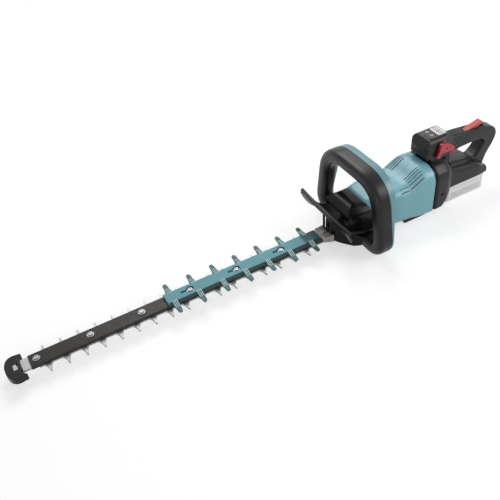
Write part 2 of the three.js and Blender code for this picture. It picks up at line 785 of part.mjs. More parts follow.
part('crank', crank(), STEEL);
part('crank_gear', spurGear(0, CRANK_TEETH, SHAFT_R + GAP, GEAR_Z, GEAR_Z + GEAR_W, 0), CAST);
part('crank_bearing_lower', ring(0, SHAFT_R + GAP, BEARING_R, BEARING_LOW_Z, BEARING_LOW_Z + BEARING_W), STEEL);
part('crank_bearing_upper', ring(0, SHAFT_R + GAP, BEARING_R, DECK_Z, DECK_Z + BEARING_W), STEEL);
part('motor_rotor', rotor(), STEEL);
part(
  'motor_pinion',
  spurGear(MOTOR_X, PINION_TEETH, ROTOR_SHAFT_R + GAP, GEAR_Z, GEAR_Z + GEAR_W, Math.PI + PINION_PHASE),
  STEEL,
);
part('cooling_fan', fan(), CHARCOAL);
part('motor_stator', stator(), COPPER);
part(
  'motor_bearing_lower',
  ring(MOTOR_X, ROTOR_SHAFT_R + GAP, MOTOR_BEARING_R, DECK_Z + 1, DECK_Z + 1 + BEARING_W),
  STEEL,
);
part(
  'motor_bearing_upper',
  ring(MOTOR_X, ROTOR_SHAFT_R + GAP, MOTOR_BEARING_R, TOP_BEARING_Z, TOP_BEARING_Z + BEARING_W),
  STEEL,
);

// ---------------------------------------------------------------- gear case

const GUARD_SCREW_TIP_X = CASE_FRONT_X + 26;
const ARM_Z0 = LOOP_BOTTOM_Z + 4;
const ARM_Z1 = LOOP_BOTTOM_Z + LOOP_THICK - 4;
const FLANGE_Z = 42;
const FLANGE_H = 6;

// Outer form of the gear case: a base with a prow, a narrower waist and a domed cap.
function caseForm(grow) {
  const rear = CASE_REAR_X + grow;
  const rearHalf = CASE_REAR_HALF_W + grow;
  const side = rounded([
    [CASE_FRONT_X - grow, 14 - grow, 3],
    [-22, -grow, 3],
    [rear, -grow, 3],
    [rear, 58 + grow, 6],
    [76, CASE_TOP_Z + grow, 6],
    [18 + grow, CASE_TOP_Z + grow],
    [10 + grow, CASE_DOME_Z - 6 + grow, 8],
    [-20, CASE_DOME_Z + grow, 20],
    [-41 - grow, 88 + grow, 8],
    [-45 - grow, CAP_RIM_Z, 3],
    [-41 - grow, CAP_RIM_Z - 4, 2],
    [-47 - grow, 58, 8],
    [CASE_FRONT_X - grow, 38 + grow, 5],
  ]);
  const base = mirroredPlan([
    [CASE_FRONT_X - grow, CASE_NOSE_HALF_W + grow, 5],
    [-48 - grow, 27 + grow, 10],
    [-26, 42 + grow, 12],
    [-6, CASE_HALF_W + grow, 12],
    [28, CASE_HALF_W + grow, 8],
    [44, rearHalf, 6],
    [rear, rearHalf, 12],
  ]);
  const waist = mirroredPlan([
    [CASE_FRONT_X - grow, CASE_NOSE_HALF_W + grow, 5],
    [-34, 36 + grow, 10],
    [-8, CASE_REAR_HALF_W + grow, 10],
    [rear, rearHalf, 12],
  ]);
  const cap = mirroredPlan([
    [-45 - grow, 36, 6],
    [-39 - grow, 45 + grow, 8],
    [-20, CAP_HALF_W + grow, 10],
    [28, CAP_HALF_W + grow, 8],
    [44, rearHalf, 6],
    [rear, rearHalf, 12],
  ]);
  const wide = CAP_HALF_W + grow;
  const crown = rounded([
    [-wide, CAP_RIM_Z - grow, 1],
    [wide, CAP_RIM_Z - grow, 1],
    [wide, 84, 14],
    [24, CASE_DOME_Z + grow, 14],
    [-24, CASE_DOME_Z + grow, 14],
    [-wide, 84, 14],
  ]);
  const FAR = 140;
  return join(
    slab(base, -grow, FLANGE_Z + FLANGE_H),
    slab(waist, FLANGE_Z, CAP_RIM_Z + 1),
    slab(cap, CAP_RIM_Z - grow, FAR).intersect(rail(crown, -FAR, FAR)),
  ).intersect(sidePlate(side, -FAR, FAR));
}

// Arms that reach out to the feet of the loop handle, under a thin flange.
function handleArms() {
  const reach = LOOP_FOOT_Y - GAP;
  const front = LOOP_FRONT_X + 4;
  const rear = LOOP_FRONT_X + LOOP_GRIP_DEPTH + LOOP_BACK_DEPTH - 2;
  const armPlan = mirroredPlan([
    [-26, 38, 0],
    [front, reach, 4],
    [rear, reach, 4],
    [rear + 12, CASE_HALF_W - 8, 0],
  ]);
  const flangePlan = mirroredPlan([
    [-50, 26, 4],
    [-37, 45, 6],
    [front + 4, reach, 4],
    [rear, reach, 4],
    [rear + 4, CASE_HALF_W - 4, 0],
  ]);
  return slab(armPlan, ARM_Z0, ARM_Z1).add(slab(flangePlan, FLANGE_Z, FLANGE_Z + FLANGE_H));
}

function gearCase() {
  const yokeRoom = CRANK_THROW + 1.5;
  const gearRoomR = CRANK_PITCH_R + GEAR_MODULE + 1.5;
  const pinionRoomR = PINION_PITCH_R + GEAR_MODULE + 1.5;
  const floor = CASE_FLOOR + GAP;
  const slotHalf = COVER_HALF_W + GAP;
  const chamberHalfY = Math.max(YOKE_HALF_Y, BEARING_R) + 1.5;
  let body = caseForm(0).add(handleArms());
  const cuts = [
    // crank chamber, open below for the base plate
    box(-YOKE_HALF_X - yokeRoom, YOKE_HALF_X + yokeRoom, -chamberHalfY, chamberHalfY, -1, GEAR_Z),
    post(0, 0, gearRoomR, GEAR_Z - 1.5, DECK_Z, 32),
    post(MOTOR_X, 0, pinionRoomR, GEAR_Z - 1.5, DECK_Z, 20),
    // mouth for the blade stack
    box(CASE_FRONT_X - 2, -YOKE_HALF_X - yokeRoom + 1, -slotHalf, slotHalf, CASE_SLOT_LOW, BAR_TOP_Z + GAP),
    // bearing seats
    post(0, 0, BEARING_R + GAP, DECK_Z - 1, DECK_Z + BEARING_W + GAP, 20),
    post(MOTOR_X, 0, MOTOR_BEARING_R + GAP, DECK_Z - 1, DECK_Z + 1 + BEARING_W + GAP, 20),
    post(MOTOR_X, 0, ROTOR_SHAFT_R + 1.5, DECK_Z, MOTOR_FLOOR_Z + 2, 16),
    // motor well, open above
    post(MOTOR_X, 0, MOTOR_R + GAP, MOTOR_FLOOR_Z, CASE_DOME_Z + 20, 30),
    // screws of the hand guard
    pinAlong(-GUARD_SCREW_Y, GUARD_SCREW_Z, SCREW_R + GAP, CASE_FRONT_X, GUARD_SCREW_TIP_X, 12),
    pinAlong(GUARD_SCREW_Y, GUARD_SCREW_Z, SCREW_R + GAP, CASE_FRONT_X, GUARD_SCREW_TIP_X, 12),
    // bores for the handle studs
    pinAcross(STUD_X, STUD_Z, STUD_R + GAP, -LOOP_FOOT_Y - 1, -LOOP_FOOT_Y + STUD_LENGTH / 2 + GAP, 16),
    pinAcross(STUD_X, STUD_Z, STUD_R + GAP, LOOP_FOOT_Y - STUD_LENGTH / 2 - GAP, LOOP_FOOT_Y + 1, 16),
    // recess for the base plate
    slab(basePlateOutline(GAP), -1, floor),
  ];
  for (const cut of cuts) {
    body = body.subtract(cut);
  }
  return body;
}

function basePlateOutline(grow) {
  const halfX = YOKE_HALF_X + CRANK_THROW + 6 + grow;
  const halfY = YOKE_HALF_Y + 6 + grow;
  return rounded([
    [-halfX + 14, -halfY, 6],
    [halfX, -halfY, 6],
    [halfX, halfY, 6],
    [-halfX + 14, halfY, 6],
  ]);
}

// Bottom cover with the seat of the lower crank bearing.
function basePlate() {
  const seatTop = BEARING_LOW_Z + BEARING_W;
  return join(
    slab(basePlateOutline(0), 0, CASE_FLOOR),
    post(0, 0, BEARING_R + 4, CASE_FLOOR - 0.5, seatTop, 20),
  ).subtract(post(0, 0, BEARING_R + GAP, BEARING_LOW_Z - GAP, seatTop + 1, 20));
}

part('gear_case', gearCase(), CHARCOAL);
part('base_plate', basePlate(), CHARCOAL);

// ---------------------------------------------------------------- front loop handle

// Centre line of the loop in (y, z), from the left foot over the top to the right foot.
function loopPath() {
  const half = LOOP_THICK / 2;
  const low = LOOP_BOTTOM_Z + half;
  const high = LOOP_TOP_Z - half;
  const corners = [
    [-LOOP_FOOT_Y, low, 0],
    [-LOOP_HALF_W + half, low, 34],
    [-LOOP_TOP_HALF_W + half, high, 56],
    [LOOP_TOP_HALF_W - half, high, 56],
    [LOOP_HALF_W - half, low, 34],
    [LOOP_FOOT_Y, low, 0],
  ];
  const path = new THREE.Path();
  path.moveTo(corners[0][0], corners[0][1]);
  for (let i = 1; i + 1 < corners.length; i += 1) {
    const corner = new THREE.Vector2(corners[i][0], corners[i][1]);
    const radius = corners[i][2];
    const before = new THREE.Vector2(corners[i - 1][0], corners[i - 1][1]).sub(corner).setLength(radius);
    const after = new THREE.Vector2(corners[i + 1][0], corners[i + 1][1]).sub(corner).setLength(radius);
    path.lineTo(corner.x + before.x, corner.y + before.y);
    path.quadraticCurveTo(corner.x, corner.y, corner.x + after.x, corner.y + after.y);
  }
  path.lineTo(corners[5][0], corners[5][1]);
  return path.getPoints(6);
}

// Sweeps a section (offset outward, x) around the loop; its rear face swells towards the top.
function alongLoop(shape, swell = 0) {
  const line = loopPath();
  const outline = shape.getPoints(3);
  outline.pop();
  const middle = (Math.max(...outline.map((q) => q.y)) + Math.min(...outline.map((q) => q.y))) / 2;
  const rings = line.map((spot, i) => {
    const ahead = line[Math.min(i + 1, line.length - 1)];
    const behind = line[Math.max(i - 1, 0)];
    const run = ahead.clone().sub(behind).normalize();
    const extra = swell * THREE.MathUtils.smoothstep(spot.y, LOOP_TOP_Z * 0.3, LOOP_TOP_Z * 0.95);
    return outline.map((q) => {
      const x = q.y > middle ? q.y + extra : q.y;
      return new THREE.Vector3(x, spot.x - run.y * q.x, spot.y + run.x * q.x);
    });
  });
  return loft(rings);
}

function frontGrip() {
  const half = LOOP_THICK / 2;
  const rear = LOOP_FRONT_X + LOOP_GRIP_DEPTH;
  const studEnd = LOOP_FOOT_Y + STUD_LENGTH / 2 + GAP;
  return alongLoop(rounded([
    [-half, LOOP_FRONT_X, 13],
    [half, LOOP_FRONT_X, 13],
    [half, rear, 1.5],
    [-half, rear, 10],
  ]))
    .subtract(pinAcross(STUD_X, STUD_Z, STUD_R + GAP, -studEnd, -LOOP_FOOT_Y + 1, 12))
    .subtract(pinAcross(STUD_X, STUD_Z, STUD_R + GAP, LOOP_FOOT_Y - 1, studEnd, 12));
}

function frontHandleBack() {
  const half = LOOP_THICK / 2 - 0.8;
  const inner = -LOOP_THICK * LOOP_BACK_SHARE + half;
  const front = LOOP_FRONT_X + LOOP_GRIP_DEPTH + GAP;
  const rear = LOOP_FRONT_X + LOOP_GRIP_DEPTH + LOOP_BACK_DEPTH;
  const back = rounded([
    [inner, front, 1],
    [half, front, 1],
    [half, rear, 5],
    [inner, rear, 5],
  ]);
  return alongLoop(back, LOOP_BACK_SWELL);
}

part('front_grip', frontGrip(), RUBBER);
part('front_handle_back', frontHandleBack(), TEAL);

// ---------------------------------------------------------------- hand guard

// Section of the shield at a distance from the centre line: lip above, leaf-shaped wing below.
function guardSection(y) {
  const share = Math.min(1, (GUARD_HALF_W - Math.abs(y)) / (GUARD_HALF_W - GUARD_ROOT_Y));
  const drop = GUARD_LIP_H + GUARD_LEAF * Math.sin(Math.PI * share ** 0.56);
  const back = GUARD_SWEEP * Math.sin((Math.PI / 2) * share ** 0.6);
  const tipSweep = 3 * (1 - share) ** 2;
  const at = (x, z) => new THREE.Vector3(GUARD_LIP_X + tipSweep + x, y, GUARD_LIP_Z - z);
  return [
    at(0, 0),
    at(GUARD_LIP_W, 0),
    at(GUARD_LIP_W, GUARD_WALL),
    at(back + GUARD_WALL, drop),
    at(back, drop + GUARD_WALL),
    at(0, GUARD_LIP_H),
  ];
}

function handGuard() {
  const rings = [];
  for (let i = 0; i <= GUARD_STEPS; i += 1) {
    rings.push(guardSection(-GUARD_HALF_W + ((GUARD_HALF_W - GUARD_ROOT_Y) * i) / GUARD_STEPS));
  }
  const other = rings.map((ring) => ring.map((p) => new THREE.Vector3(p.x, -p.y, p.z))).reverse();
  let guard = loft([...rings, ...other]);
  const sheetZ = GUARD_LIP_Z - GUARD_LIP_H;
  const tab = box(CASE_FRONT_X, CASE_FRONT_X + 26, -20, 20, GUARD_SCREW_Z - 7, sheetZ);
  guard = guard.add(tab);
  for (const side of [-1, 1]) {
    const inner = side * STAY_Y;
    const outer = side * (STAY_Y + STAY_THICK);
    guard = guard
      .add(
        box(CASE_FRONT_X - 6, CASE_FRONT_X - 1, Math.min(inner, outer), Math.max(inner, outer),
          BAR_TOP_Z + ROOT_THICK + 2 * GAP, sheetZ),
      )
      .subtract(
        pinAlong(side * GUARD_SCREW_Y, GUARD_SCREW_Z, SCREW_R + GAP, CASE_FRONT_X - 30, CASE_FRONT_X + 30, 12),
      );
  }
  return guard.subtract(caseForm(GAP));
}

part('hand_guard', handGuard(), CHARCOAL);
for (const side of [-1, 1]) {
  const seat = CASE_FRONT_X - GAP;
  const body = pinAlong(side * GUARD_SCREW_Y, GUARD_SCREW_Z, SCREW_HEAD_R, seat - SCREW_HEAD_H, seat, 16).add(
    pinAlong(side * GUARD_SCREW_Y, GUARD_SCREW_Z, SCREW_R, seat - 1, GUARD_SCREW_TIP_X - 1, 12),
  );
  part(side < 0 ? 'hand_guard_screw_left' : 'hand_guard_screw_right', body, STEEL);
}

// ---------------------------------------------------------------- motor housing

const RING_FACE_X = SWIVEL_X - 4; // rear wall of the motor housing starts here
const LOUVRE_W = 2.6;
const LOUVRE_PITCH = 6.6;
const LOUVRE_INNER_Y = 20; // innermost slot
// groups of slots on a shoulder: [front end, rear end, slots left out, slots]
const LOUVRES = [
  [117, 151, 0, 5],
  [92, 112, 3, 2],
];
const SPINDLE_R = 14;
const FLANGE_R = 22;
const FLANGE_W = 4;

function swivelFace(x, shrink = 0) {
  const half = SWIVEL_HALF - shrink;
  return {
    x,
    halfW: half,
    top: SWIVEL_Z + half,
    bottom: SWIVEL_Z - half,
    round: SWIVEL_ROUND - shrink,
    roundLow: SWIVEL_LOW_ROUND - shrink,
  };
}

function housingSections() {
  return [
    { x: 0, halfW: 34, top: 94, bottom: 76, round: 8 },
    { x: 16, halfW: 42, top: 99, bottom: 70, round: 16, roundLow: 4 },
    { x: 46, halfW: 50, top: 100, bottom: 66, round: 20, roundLow: 4 },
    { x: 47, halfW: 50, top: 100, bottom: 16, round: 20, roundLow: 14 },
    { x: CASE_REAR_X, halfW: 53, top: 101, bottom: 15, round: 22, roundLow: 14 },
    { x: 118, halfW: 54, top: 104, bottom: 13, round: 26, roundLow: 14 },
    swivelFace(150, 1),
    swivelFace(SWIVEL_X),
  ];
}

// Teal shell over motor and electronics, with louvres on each shoulder.
function motorHousing() {
  const sections = housingSections();
  const outer = loft(sections.map((s) => section(s)));
  const hollow = sections.map((s) => inset(s, HOUSING_WALL));
  hollow[0] = { ...hollow[0], x: hollow[0].x + HOUSING_WALL };
  hollow[3] = { ...hollow[3], x: hollow[3].x + HOUSING_WALL };
  hollow[2] = { ...hollow[2], x: hollow[3].x - 1 };
  hollow[7] = { ...hollow[7], x: RING_FACE_X };
  let body = outer.subtract(loft(hollow.map((s) => section(s))));
  // bridge that carries the upper motor bearing
  const bridge = box(MOTOR_X - 13, MOTOR_X + 13, -70, 70, TOP_BEARING_Z, TOP_BEARING_Z + BEARING_W + 2)
    .intersect(outer)
    .subtract(post(MOTOR_X, 0, MOTOR_BEARING_R + GAP, TOP_BEARING_Z - 1, TOP_BEARING_Z + BEARING_W + GAP, 20));
  body = body.add(bridge).subtract(caseForm(GAP));
  for (const [x0, x1, skipped, count] of LOUVRES) {
    for (let i = 0; i < count; i += 1) {
      const y = LOUVRE_INNER_Y + (skipped + i) * LOUVRE_PITCH;
      const slot = box(x0, x1, y, y + LOUVRE_W, SWIVEL_Z + 20, 150);
      body = body.subtract(slot).subtract(slot.mirror([0, 1, 0]));
    }
  }
  return body.subtract(pinAlong(0, SWIVEL_Z, SPINDLE_R + GAP, RING_FACE_X - 5, SWIVEL_X + 5, 24));
}

const housing = motorHousing();
part('motor_housing_left', half(housing, -1), TEAL);
part('motor_housing_right', half(housing, 1), TEAL);

const ringBody = loft([
  section(swivelFace(SWIVEL_X + GAP, RING_INSET)),
  section(swivelFace(SWIVEL_X + RING_W - GAP, RING_INSET)),
]).subtract(
  pinAlong(0, SWIVEL_Z, SPINDLE_R + GAP, SWIVEL_X - 1, SWIVEL_X + RING_W + 1, 24),
);
part('swivel_ring', ringBody, RUBBER);

// Hollow spindle on which the rear handle turns; its flange sits inside the motor housing.
function swivelSpindle() {
  const flangeX = RING_FACE_X - GAP - FLANGE_W;
  return pinAlong(0, SWIVEL_Z, SPINDLE_R, flangeX, SWIVEL_X + RING_W + SPINDLE_GRIP, 24)
    .add(pinAlong(0, SWIVEL_Z, FLANGE_R, flangeX, flangeX + FLANGE_W, 24))
    .subtract(pinAlong(0, SWIVEL_Z, SPINDLE_R - 4, flangeX - 1, SWIVEL_X + 100, 16));
}

const SPINDLE_GRIP = 6; // length held by the rear housing

part('swivel_spindle', swivelSpindle(), CAST);

// Rubber foot under the motor housing.
function baseFoot() {
  return box(FOOT_X0, FOOT_X1, -FOOT_HALF_W, FOOT_HALF_W, 0, 30)
    .subtract(loft(housingSections().slice(3).map((s) => section(inset(s, -GAP)))));
}

const FOOT_X0 = 113;
const FOOT_X1 = 168;
const FOOT_HALF_W = 43;

part('base_foot', baseFoot(), RUBBER);

// ---------------------------------------------------------------- rear housing and D handle

const REAR_X = SWIVEL_X + RING_W; // front face of the rear housing
const BATTERY_REAR_X = BATTERY_FRONT_X + BATTERY_LENGTH;
const SADDLE_Z = BATTERY_TOP_Z + GAP; // underside of the saddle above the battery
const CHANNEL_ROOF_Z = SADDLE_Z + RAIL_H + GAP;
const TRIGGER_HALF_W = 8;
const LEVER_HALF_W = 7;
const LATCH_Y0 = -37;
const LATCH_Y1 = -28.6;
const SWITCH = { x0: BATTERY_FRONT_X - 8, x1: BATTERY_FRONT_X + 14, halfW: 9, z0: 120, z1: 140 };
const BOARD = { x0: 178, x1: BATTERY_FRONT_X + 4, halfW: 18, z0: 160, z1: 161.6 };
const PANEL = { x0: 184.5, x1: 230.5, halfW: 18, thick: 1.8 };
const TERMINAL = { x0: BATTERY_FRONT_X + 10, x1: BATTERY_FRONT_X + 36, halfW: 14, z1: 64 };
const PIN_R = 2;
const TRIGGER_PIVOT = [BATTERY_FRONT_X + 55, 128];
const LEVER_PIVOT = [BATTERY_FRONT_X + 46, 142];
const LATCH_PIVOT = [BATTERY_FRONT_X - 16, 153];

// Side outline with its corners measured back from the front of the battery.
function behind(corners) {
  return rounded(corners.map(([x, z, radius]) => [BATTERY_FRONT_X + x, z, radius]));
}

function drumSections() {
  return [
    swivelFace(REAR_X, 2),
    swivelFace(REAR_X + 4),
    swivelFace(BATTERY_FRONT_X - 28, 0.5),
    { x: BATTERY_FRONT_X - 16, halfW: 55.5, top: 122.5, bottom: 16, round: 35, roundLow: 20 },
    { x: BATTERY_FRONT_X - 6, halfW: 51, top: 118, bottom: 22, round: 32, roundLow: 26 },
    { x: BATTERY_FRONT_X - GAP, halfW: 44, top: 110, bottom: 26, round: 24, roundLow: 16 },
  ];
}

function saddleSections() {
  return [
    { x: BATTERY_FRONT_X - 18, halfW: 42, top: 104, bottom: SADDLE_Z, round: 18, roundLow: 1 },
    { x: BATTERY_FRONT_X + 14, halfW: BASE_HALF_W, top: 88, bottom: SADDLE_Z, round: 14, roundLow: 1 },
    { x: BASE_REAR_X - 30, halfW: BASE_HALF_W, top: BASE_TOP_Z, bottom: SADDLE_Z, round: 12, roundLow: 1 },
    { x: BASE_REAR_X, halfW: BASE_HALF_W - 2, top: 56, bottom: SADDLE_Z, round: 8, roundLow: 1 },
  ];
}

// D handle: rounded outer outline, finger opening with chamfered rims.
function handleForm() {
  const outline = behind([
    [0, 60],
    [0, 154],
    [30, 155, 20],
    [68, 151, 30],
    [124, 147, 18],
    [152, 132, 20],
    [150, 104, 24],
    [130, 72, 20],
    [124, 48],
    [68, 48],
  ]);
  const opening = behind([
    [18, 92, 8],
    [18, 120, 6],
    [98, 122, 14],
    [118, 114, 12],
    [108, 92, 10],
    [90, 76, 8],
    [54, 84, 10],
  ]);
  const rim = 4;
  const far = 2 * GRIP_HALF_W;
  return sidePlate(outline, -GRIP_HALF_W, GRIP_HALF_W, GRIP_ROUND, 2)
    .subtract(sidePlate(opening, -far, far))
    .subtract(flaredPlate(opening, GRIP_HALF_W - rim, far, rim))
    .subtract(flaredPlate(opening, -far, rim - GRIP_HALF_W, rim));
}

// Control head: a wedge-nosed box that overhangs the swivel ring, on a neck of its own width.
function headForm() {
  return headBlock(0, HEAD_CHIN_Z, SWIVEL_Z + SWIVEL_HALF - 4);
}

function headBlock(shrink, chinZ, neckZ) {
  const side = rounded([
    [HEAD_FRONT_X + 3 + shrink, chinZ, 2],
    [HEAD_FRONT_X + shrink, 158, 4],
    [HEAD_FRONT_X + 13 + shrink, HEAD_TOP_Z - shrink, 6],
    [HEAD_REAR_X - 22, HEAD_TOP_Z - shrink, 8],
    [HEAD_REAR_X - shrink, 157 - shrink, 4],
    [HEAD_REAR_X - shrink, neckZ],
    [HEAD_FRONT_X + 22 + shrink, neckZ],
    [HEAD_FRONT_X + 12 + shrink, chinZ],
  ]);
  const wide = HEAD_HALF_W - shrink;
  const neck = 21 - shrink;
  const plan = rounded([
    [HEAD_FRONT_X + shrink, -wide + 5, 4],
    [HEAD_FRONT_X + 6 + shrink, -wide, 4],
    [HEAD_FRONT_X + 42, -wide, 5],
    [HEAD_FRONT_X + 54, -neck, 5],
    [HEAD_REAR_X - shrink, -GRIP_HALF_W + shrink],
    [HEAD_REAR_X - shrink, GRIP_HALF_W - shrink],
    [HEAD_FRONT_X + 54, neck, 5],
    [HEAD_FRONT_X + 42, wide, 5],
    [HEAD_FRONT_X + 6 + shrink, wide, 4],
    [HEAD_FRONT_X + shrink, wide - 5, 4],
  ]);
  const crown = rounded([
    [-wide, 100],
    [wide, 100],
    [wide, HEAD_TOP_Z - shrink, 14],
    [-wide, HEAD_TOP_Z - shrink, 14],
  ]);
  return sidePlate(side, -60, 60)
    .intersect(slab(plan, 100, 200))
    .intersect(rail(crown, HEAD_FRONT_X - 10, HEAD_REAR_X + 10));
}

// T-shaped slide rail section (y, z) standing on z0.
function railOutline(grow, z0) {
  const neck = RAIL_NECK_HALF_W + grow;
  const wide = RAIL_HALF_W + grow;
  const lip = z0 + RAIL_H - RAIL_LIP_H - grow;
  const top = z0 + RAIL_H + grow;
  return polygon([
    [-neck, z0 - 1],
    [neck, z0 - 1],
    [neck, lip],
    [wide, lip],
    [wide, top],
    [-wide, top],
    [-wide, lip],
    [-neck, lip],
  ]);
}

function triggerOutline() {
  return behind([
    [20, 127, 2],
    [54, 133, 3],
    [61, 130, 3],
    [56, 119, 4],
    [40, 108, 8],
    [26, 104, 3],
    [19, 109, 3],
  ]);
}

function lockOffOutline() {
  return behind([
    [41, 139.5, 3],
    [41, 146.5, 3],
    [107, 162.5, 2],
    [112, 156.5, 2],
    [106, 149.5, 4],
    [66, 141.5, 6],
  ]);
}

function latchOutline() {
  return behind([
    [-42, 136, 2],
    [-35, 133, 2],
    [-26, 144, 4],
    [-10, 143, 4],
    [5, 141, 4],
    [6, 151, 4],
    [-14, 164, 5],
    [-32, 168, 4],
    [-35, 158, 4],
    [-37, 147, 3],
  ]);
}

function turned(body, [x, z], angle) {
  return body
    .translate([-x, 0, -z])
    .rotate([0, (angle * 180) / Math.PI, 0])
    .translate([x, 0, z]);
}

const LATCH_SWING = 0.22;
const LATCH_PIN_IN = 16; // how far its pin reaches into the housing

function rearHousing() {
  const drum = loft(drumSections().map((s) => section(s)));
  const saddle = loft(saddleSections().map((s) => section(s)));
  let body = join(drum, saddle, handleForm(), headForm());
  const drumHollow = drumSections().slice(1).map((s) => inset(s, HOUSING_WALL));
  drumHollow[0].x = REAR_X + SPINDLE_GRIP + 1;
  const lastHollow = drumHollow.at(-1);
  lastHollow.x -= HOUSING_WALL;
  lastHollow.bottom = SADDLE_Z + 12; // keeps a thick floor over the rail channel
  const cuts = [
    loft(drumHollow.map((s) => section(s))),
    headBlock(HOUSING_WALL, 151, 133),
    // room in the saddle
    box(BATTERY_FRONT_X + 8, BASE_REAR_X - 30, -30, 30, CHANNEL_ROOF_Z + 3, 68),
    // channel for the battery rail, open to the rear
    rail(railOutline(GAP, SADDLE_Z - GAP), BATTERY_FRONT_X - GAP, BASE_REAR_X + 5),
    box(BATTERY_FRONT_X - GAP, BASE_REAR_X + 5, -BASE_HALF_W - 8, BASE_HALF_W + 8, -5, SADDLE_Z),
    // bore and seat of the swivel spindle
    pinAlong(0, SWIVEL_Z, SPINDLE_R + GAP, REAR_X - 1, REAR_X + SPINDLE_GRIP + 3, 24),
    // window and rebate of the display
    box(PANEL.x0 + 4, PANEL.x1 - 4, -PANEL.halfW + 4, PANEL.halfW - 4, 170, HEAD_TOP_Z + 1),
    box(PANEL.x0, PANEL.x1, -PANEL.halfW, PANEL.halfW, HEAD_TOP_Z - PANEL.thick, HEAD_TOP_Z + 1),
    // seats of switch and control board
    box(SWITCH.x0 - GAP, SWITCH.x1 + 3, -SWITCH.halfW - GAP, SWITCH.halfW + GAP, SWITCH.z0 - GAP, SWITCH.z1 + GAP),
    box(BOARD.x0 - GAP, BOARD.x1 + GAP, -BOARD.halfW - GAP, BOARD.halfW + GAP, BOARD.z0 - 4, BOARD.z1 + 8),
    // slot through which the contacts reach the battery
    box(TERMINAL.x0 - GAP, TERMINAL.x1 + GAP, -TERMINAL.halfW - GAP, TERMINAL.halfW + GAP, SADDLE_Z + 2,
      CHANNEL_ROOF_Z + 4),
    // pockets of trigger and lock-off lever
    box(SWITCH.x1 + 1, TRIGGER_PIVOT[0] + 9, -TRIGGER_HALF_W - GAP, TRIGGER_HALF_W + GAP, 112, 137),
    box(LEVER_PIVOT[0] - 8, BASE_REAR_X, -LEVER_HALF_W - GAP, LEVER_HALF_W + GAP, 138, 170),
    // pin bores
    pinAcross(...TRIGGER_PIVOT, PIN_R + GAP, -PIN_HALF_L - GAP, PIN_HALF_L + GAP, 12),
    pinAcross(...LEVER_PIVOT, PIN_R + GAP, -PIN_HALF_L - GAP, PIN_HALF_L + GAP, 12),
    pinAcross(...LATCH_PIVOT, PIN_R + GAP, LATCH_Y0 - 5, LATCH_Y1 + LATCH_PIN_IN + GAP, 12),
  ];
  for (const angle of [0, LATCH_SWING / 2, LATCH_SWING]) {
    cuts.push(turned(sidePlate(latchOutline(), LATCH_Y0 - 20, LATCH_Y1 + GAP), LATCH_PIVOT, angle));
  }
  for (const cut of cuts) {
    body = body.subtract(cut);
  }
  return body;
}

const PIN_HALF_L = 12;

const rear = rearHousing();
part('rear_housing_left', half(rear, -1), CHARCOAL);
part('rear_housing_right', half(rear, 1), CHARCOAL);

// ---------------------------------------------------------------- controls

const BUTTON_R = 4.5;
const BUTTON_FLANGE_R = 6;
const BUTTON_RISE = 0.9;
const BUTTON_STEM = 4;
const POWER_SPOT = [195, -7.5];
const SPEED_SPOT = [195, 7.5];

function displayPanel() {
  const corner = 3;
  const outline = rounded([
    [PANEL.x0 + GAP, -PANEL.halfW + GAP, corner],
    [PANEL.x1 - GAP, -PANEL.halfW + GAP, corner],
    [PANEL.x1 - GAP, PANEL.halfW - GAP, corner],
    [PANEL.x0 + GAP, PANEL.halfW - GAP, corner],
  ]);
  let plate = slab(outline, HEAD_TOP_Z - PANEL.thick + GAP, HEAD_TOP_Z + 0.4);
  for (const [x, y] of [POWER_SPOT, SPEED_SPOT]) {
    plate = plate.subtract(post(x, y, BUTTON_R + GAP, 170, HEAD_TOP_Z + 2, 16));
  }
  return plate;
}

// Push button whose flange is caught under the display panel.
function pushButton([x, y]) {
  const flangeTop = HEAD_TOP_Z - PANEL.thick;
  return join(
    post(x, y, BUTTON_R, flangeTop - 0.5, HEAD_TOP_Z + BUTTON_RISE, 16),
    post(x, y, BUTTON_FLANGE_R, flangeTop - 1.5, flangeTop, 16),
    post(x, y, 1.5, flangeTop - BUTTON_STEM, flangeTop - 1, 8),
  );
}

function trigger() {
  return sidePlate(triggerOutline(), -TRIGGER_HALF_W, TRIGGER_HALF_W, 1.2, 1).subtract(
    pinAcross(...TRIGGER_PIVOT, PIN_R + GAP, -20, 20, 12),
  );
}

function lockOffLever() {
  return sidePlate(lockOffOutline(), -LEVER_HALF_W, LEVER_HALF_W, 1, 1).subtract(
    pinAcross(...LEVER_PIVOT, PIN_R + GAP, -20, 20, 12),
  );
}

function swivelLatch() {
  return sidePlate(latchOutline(), LATCH_Y0, LATCH_Y1, 1, 1).subtract(
    pinAcross(...LATCH_PIVOT, PIN_R + GAP, LATCH_Y0 - 5, LATCH_Y1 + 5, 12),
  );
}

function switchUnit() {
  return join(
    box(SWITCH.x0, SWITCH.x1, -SWITCH.halfW, SWITCH.halfW, SWITCH.z0, SWITCH.z1),
    box(SWITCH.x1 - 1, SWITCH.x1 + 4, -3, 3, SWITCH.z0 + 2, SWITCH.z0 + 7),
  );
}

function controlBoard() {
  return join(
    box(BOARD.x0, BOARD.x1, -BOARD.halfW, BOARD.halfW, BOARD.z0, BOARD.z1),
    box(BOARD.x0 + 30, BOARD.x0 + 46, -9, 9, BOARD.z1 - 0.2, BOARD.z1 + 4),
    post(BOARD.x1 - 9, 8, 4.5, BOARD.z1 - 0.2, BOARD.z1 + 7, 12),
  );
}

// Contact block on the roof of the rail channel, with two blades for the battery.
function terminalBlock() {
  const low = CHANNEL_ROOF_Z + 3 + GAP;
  return join(
    box(TERMINAL.x0, TERMINAL.x1, -TERMINAL.halfW - 6, TERMINAL.halfW + 6, low, TERMINAL.z1),
    ...[-1, 1].map((side) => box(TERMINAL.x0 + 3, TERMINAL.x1 - 5, side * CONTACT_Y - 0.6, side * CONTACT_Y + 0.6,
      SADDLE_Z + 3, low + 1)),
  );
}

const CONTACT_Y = 8;

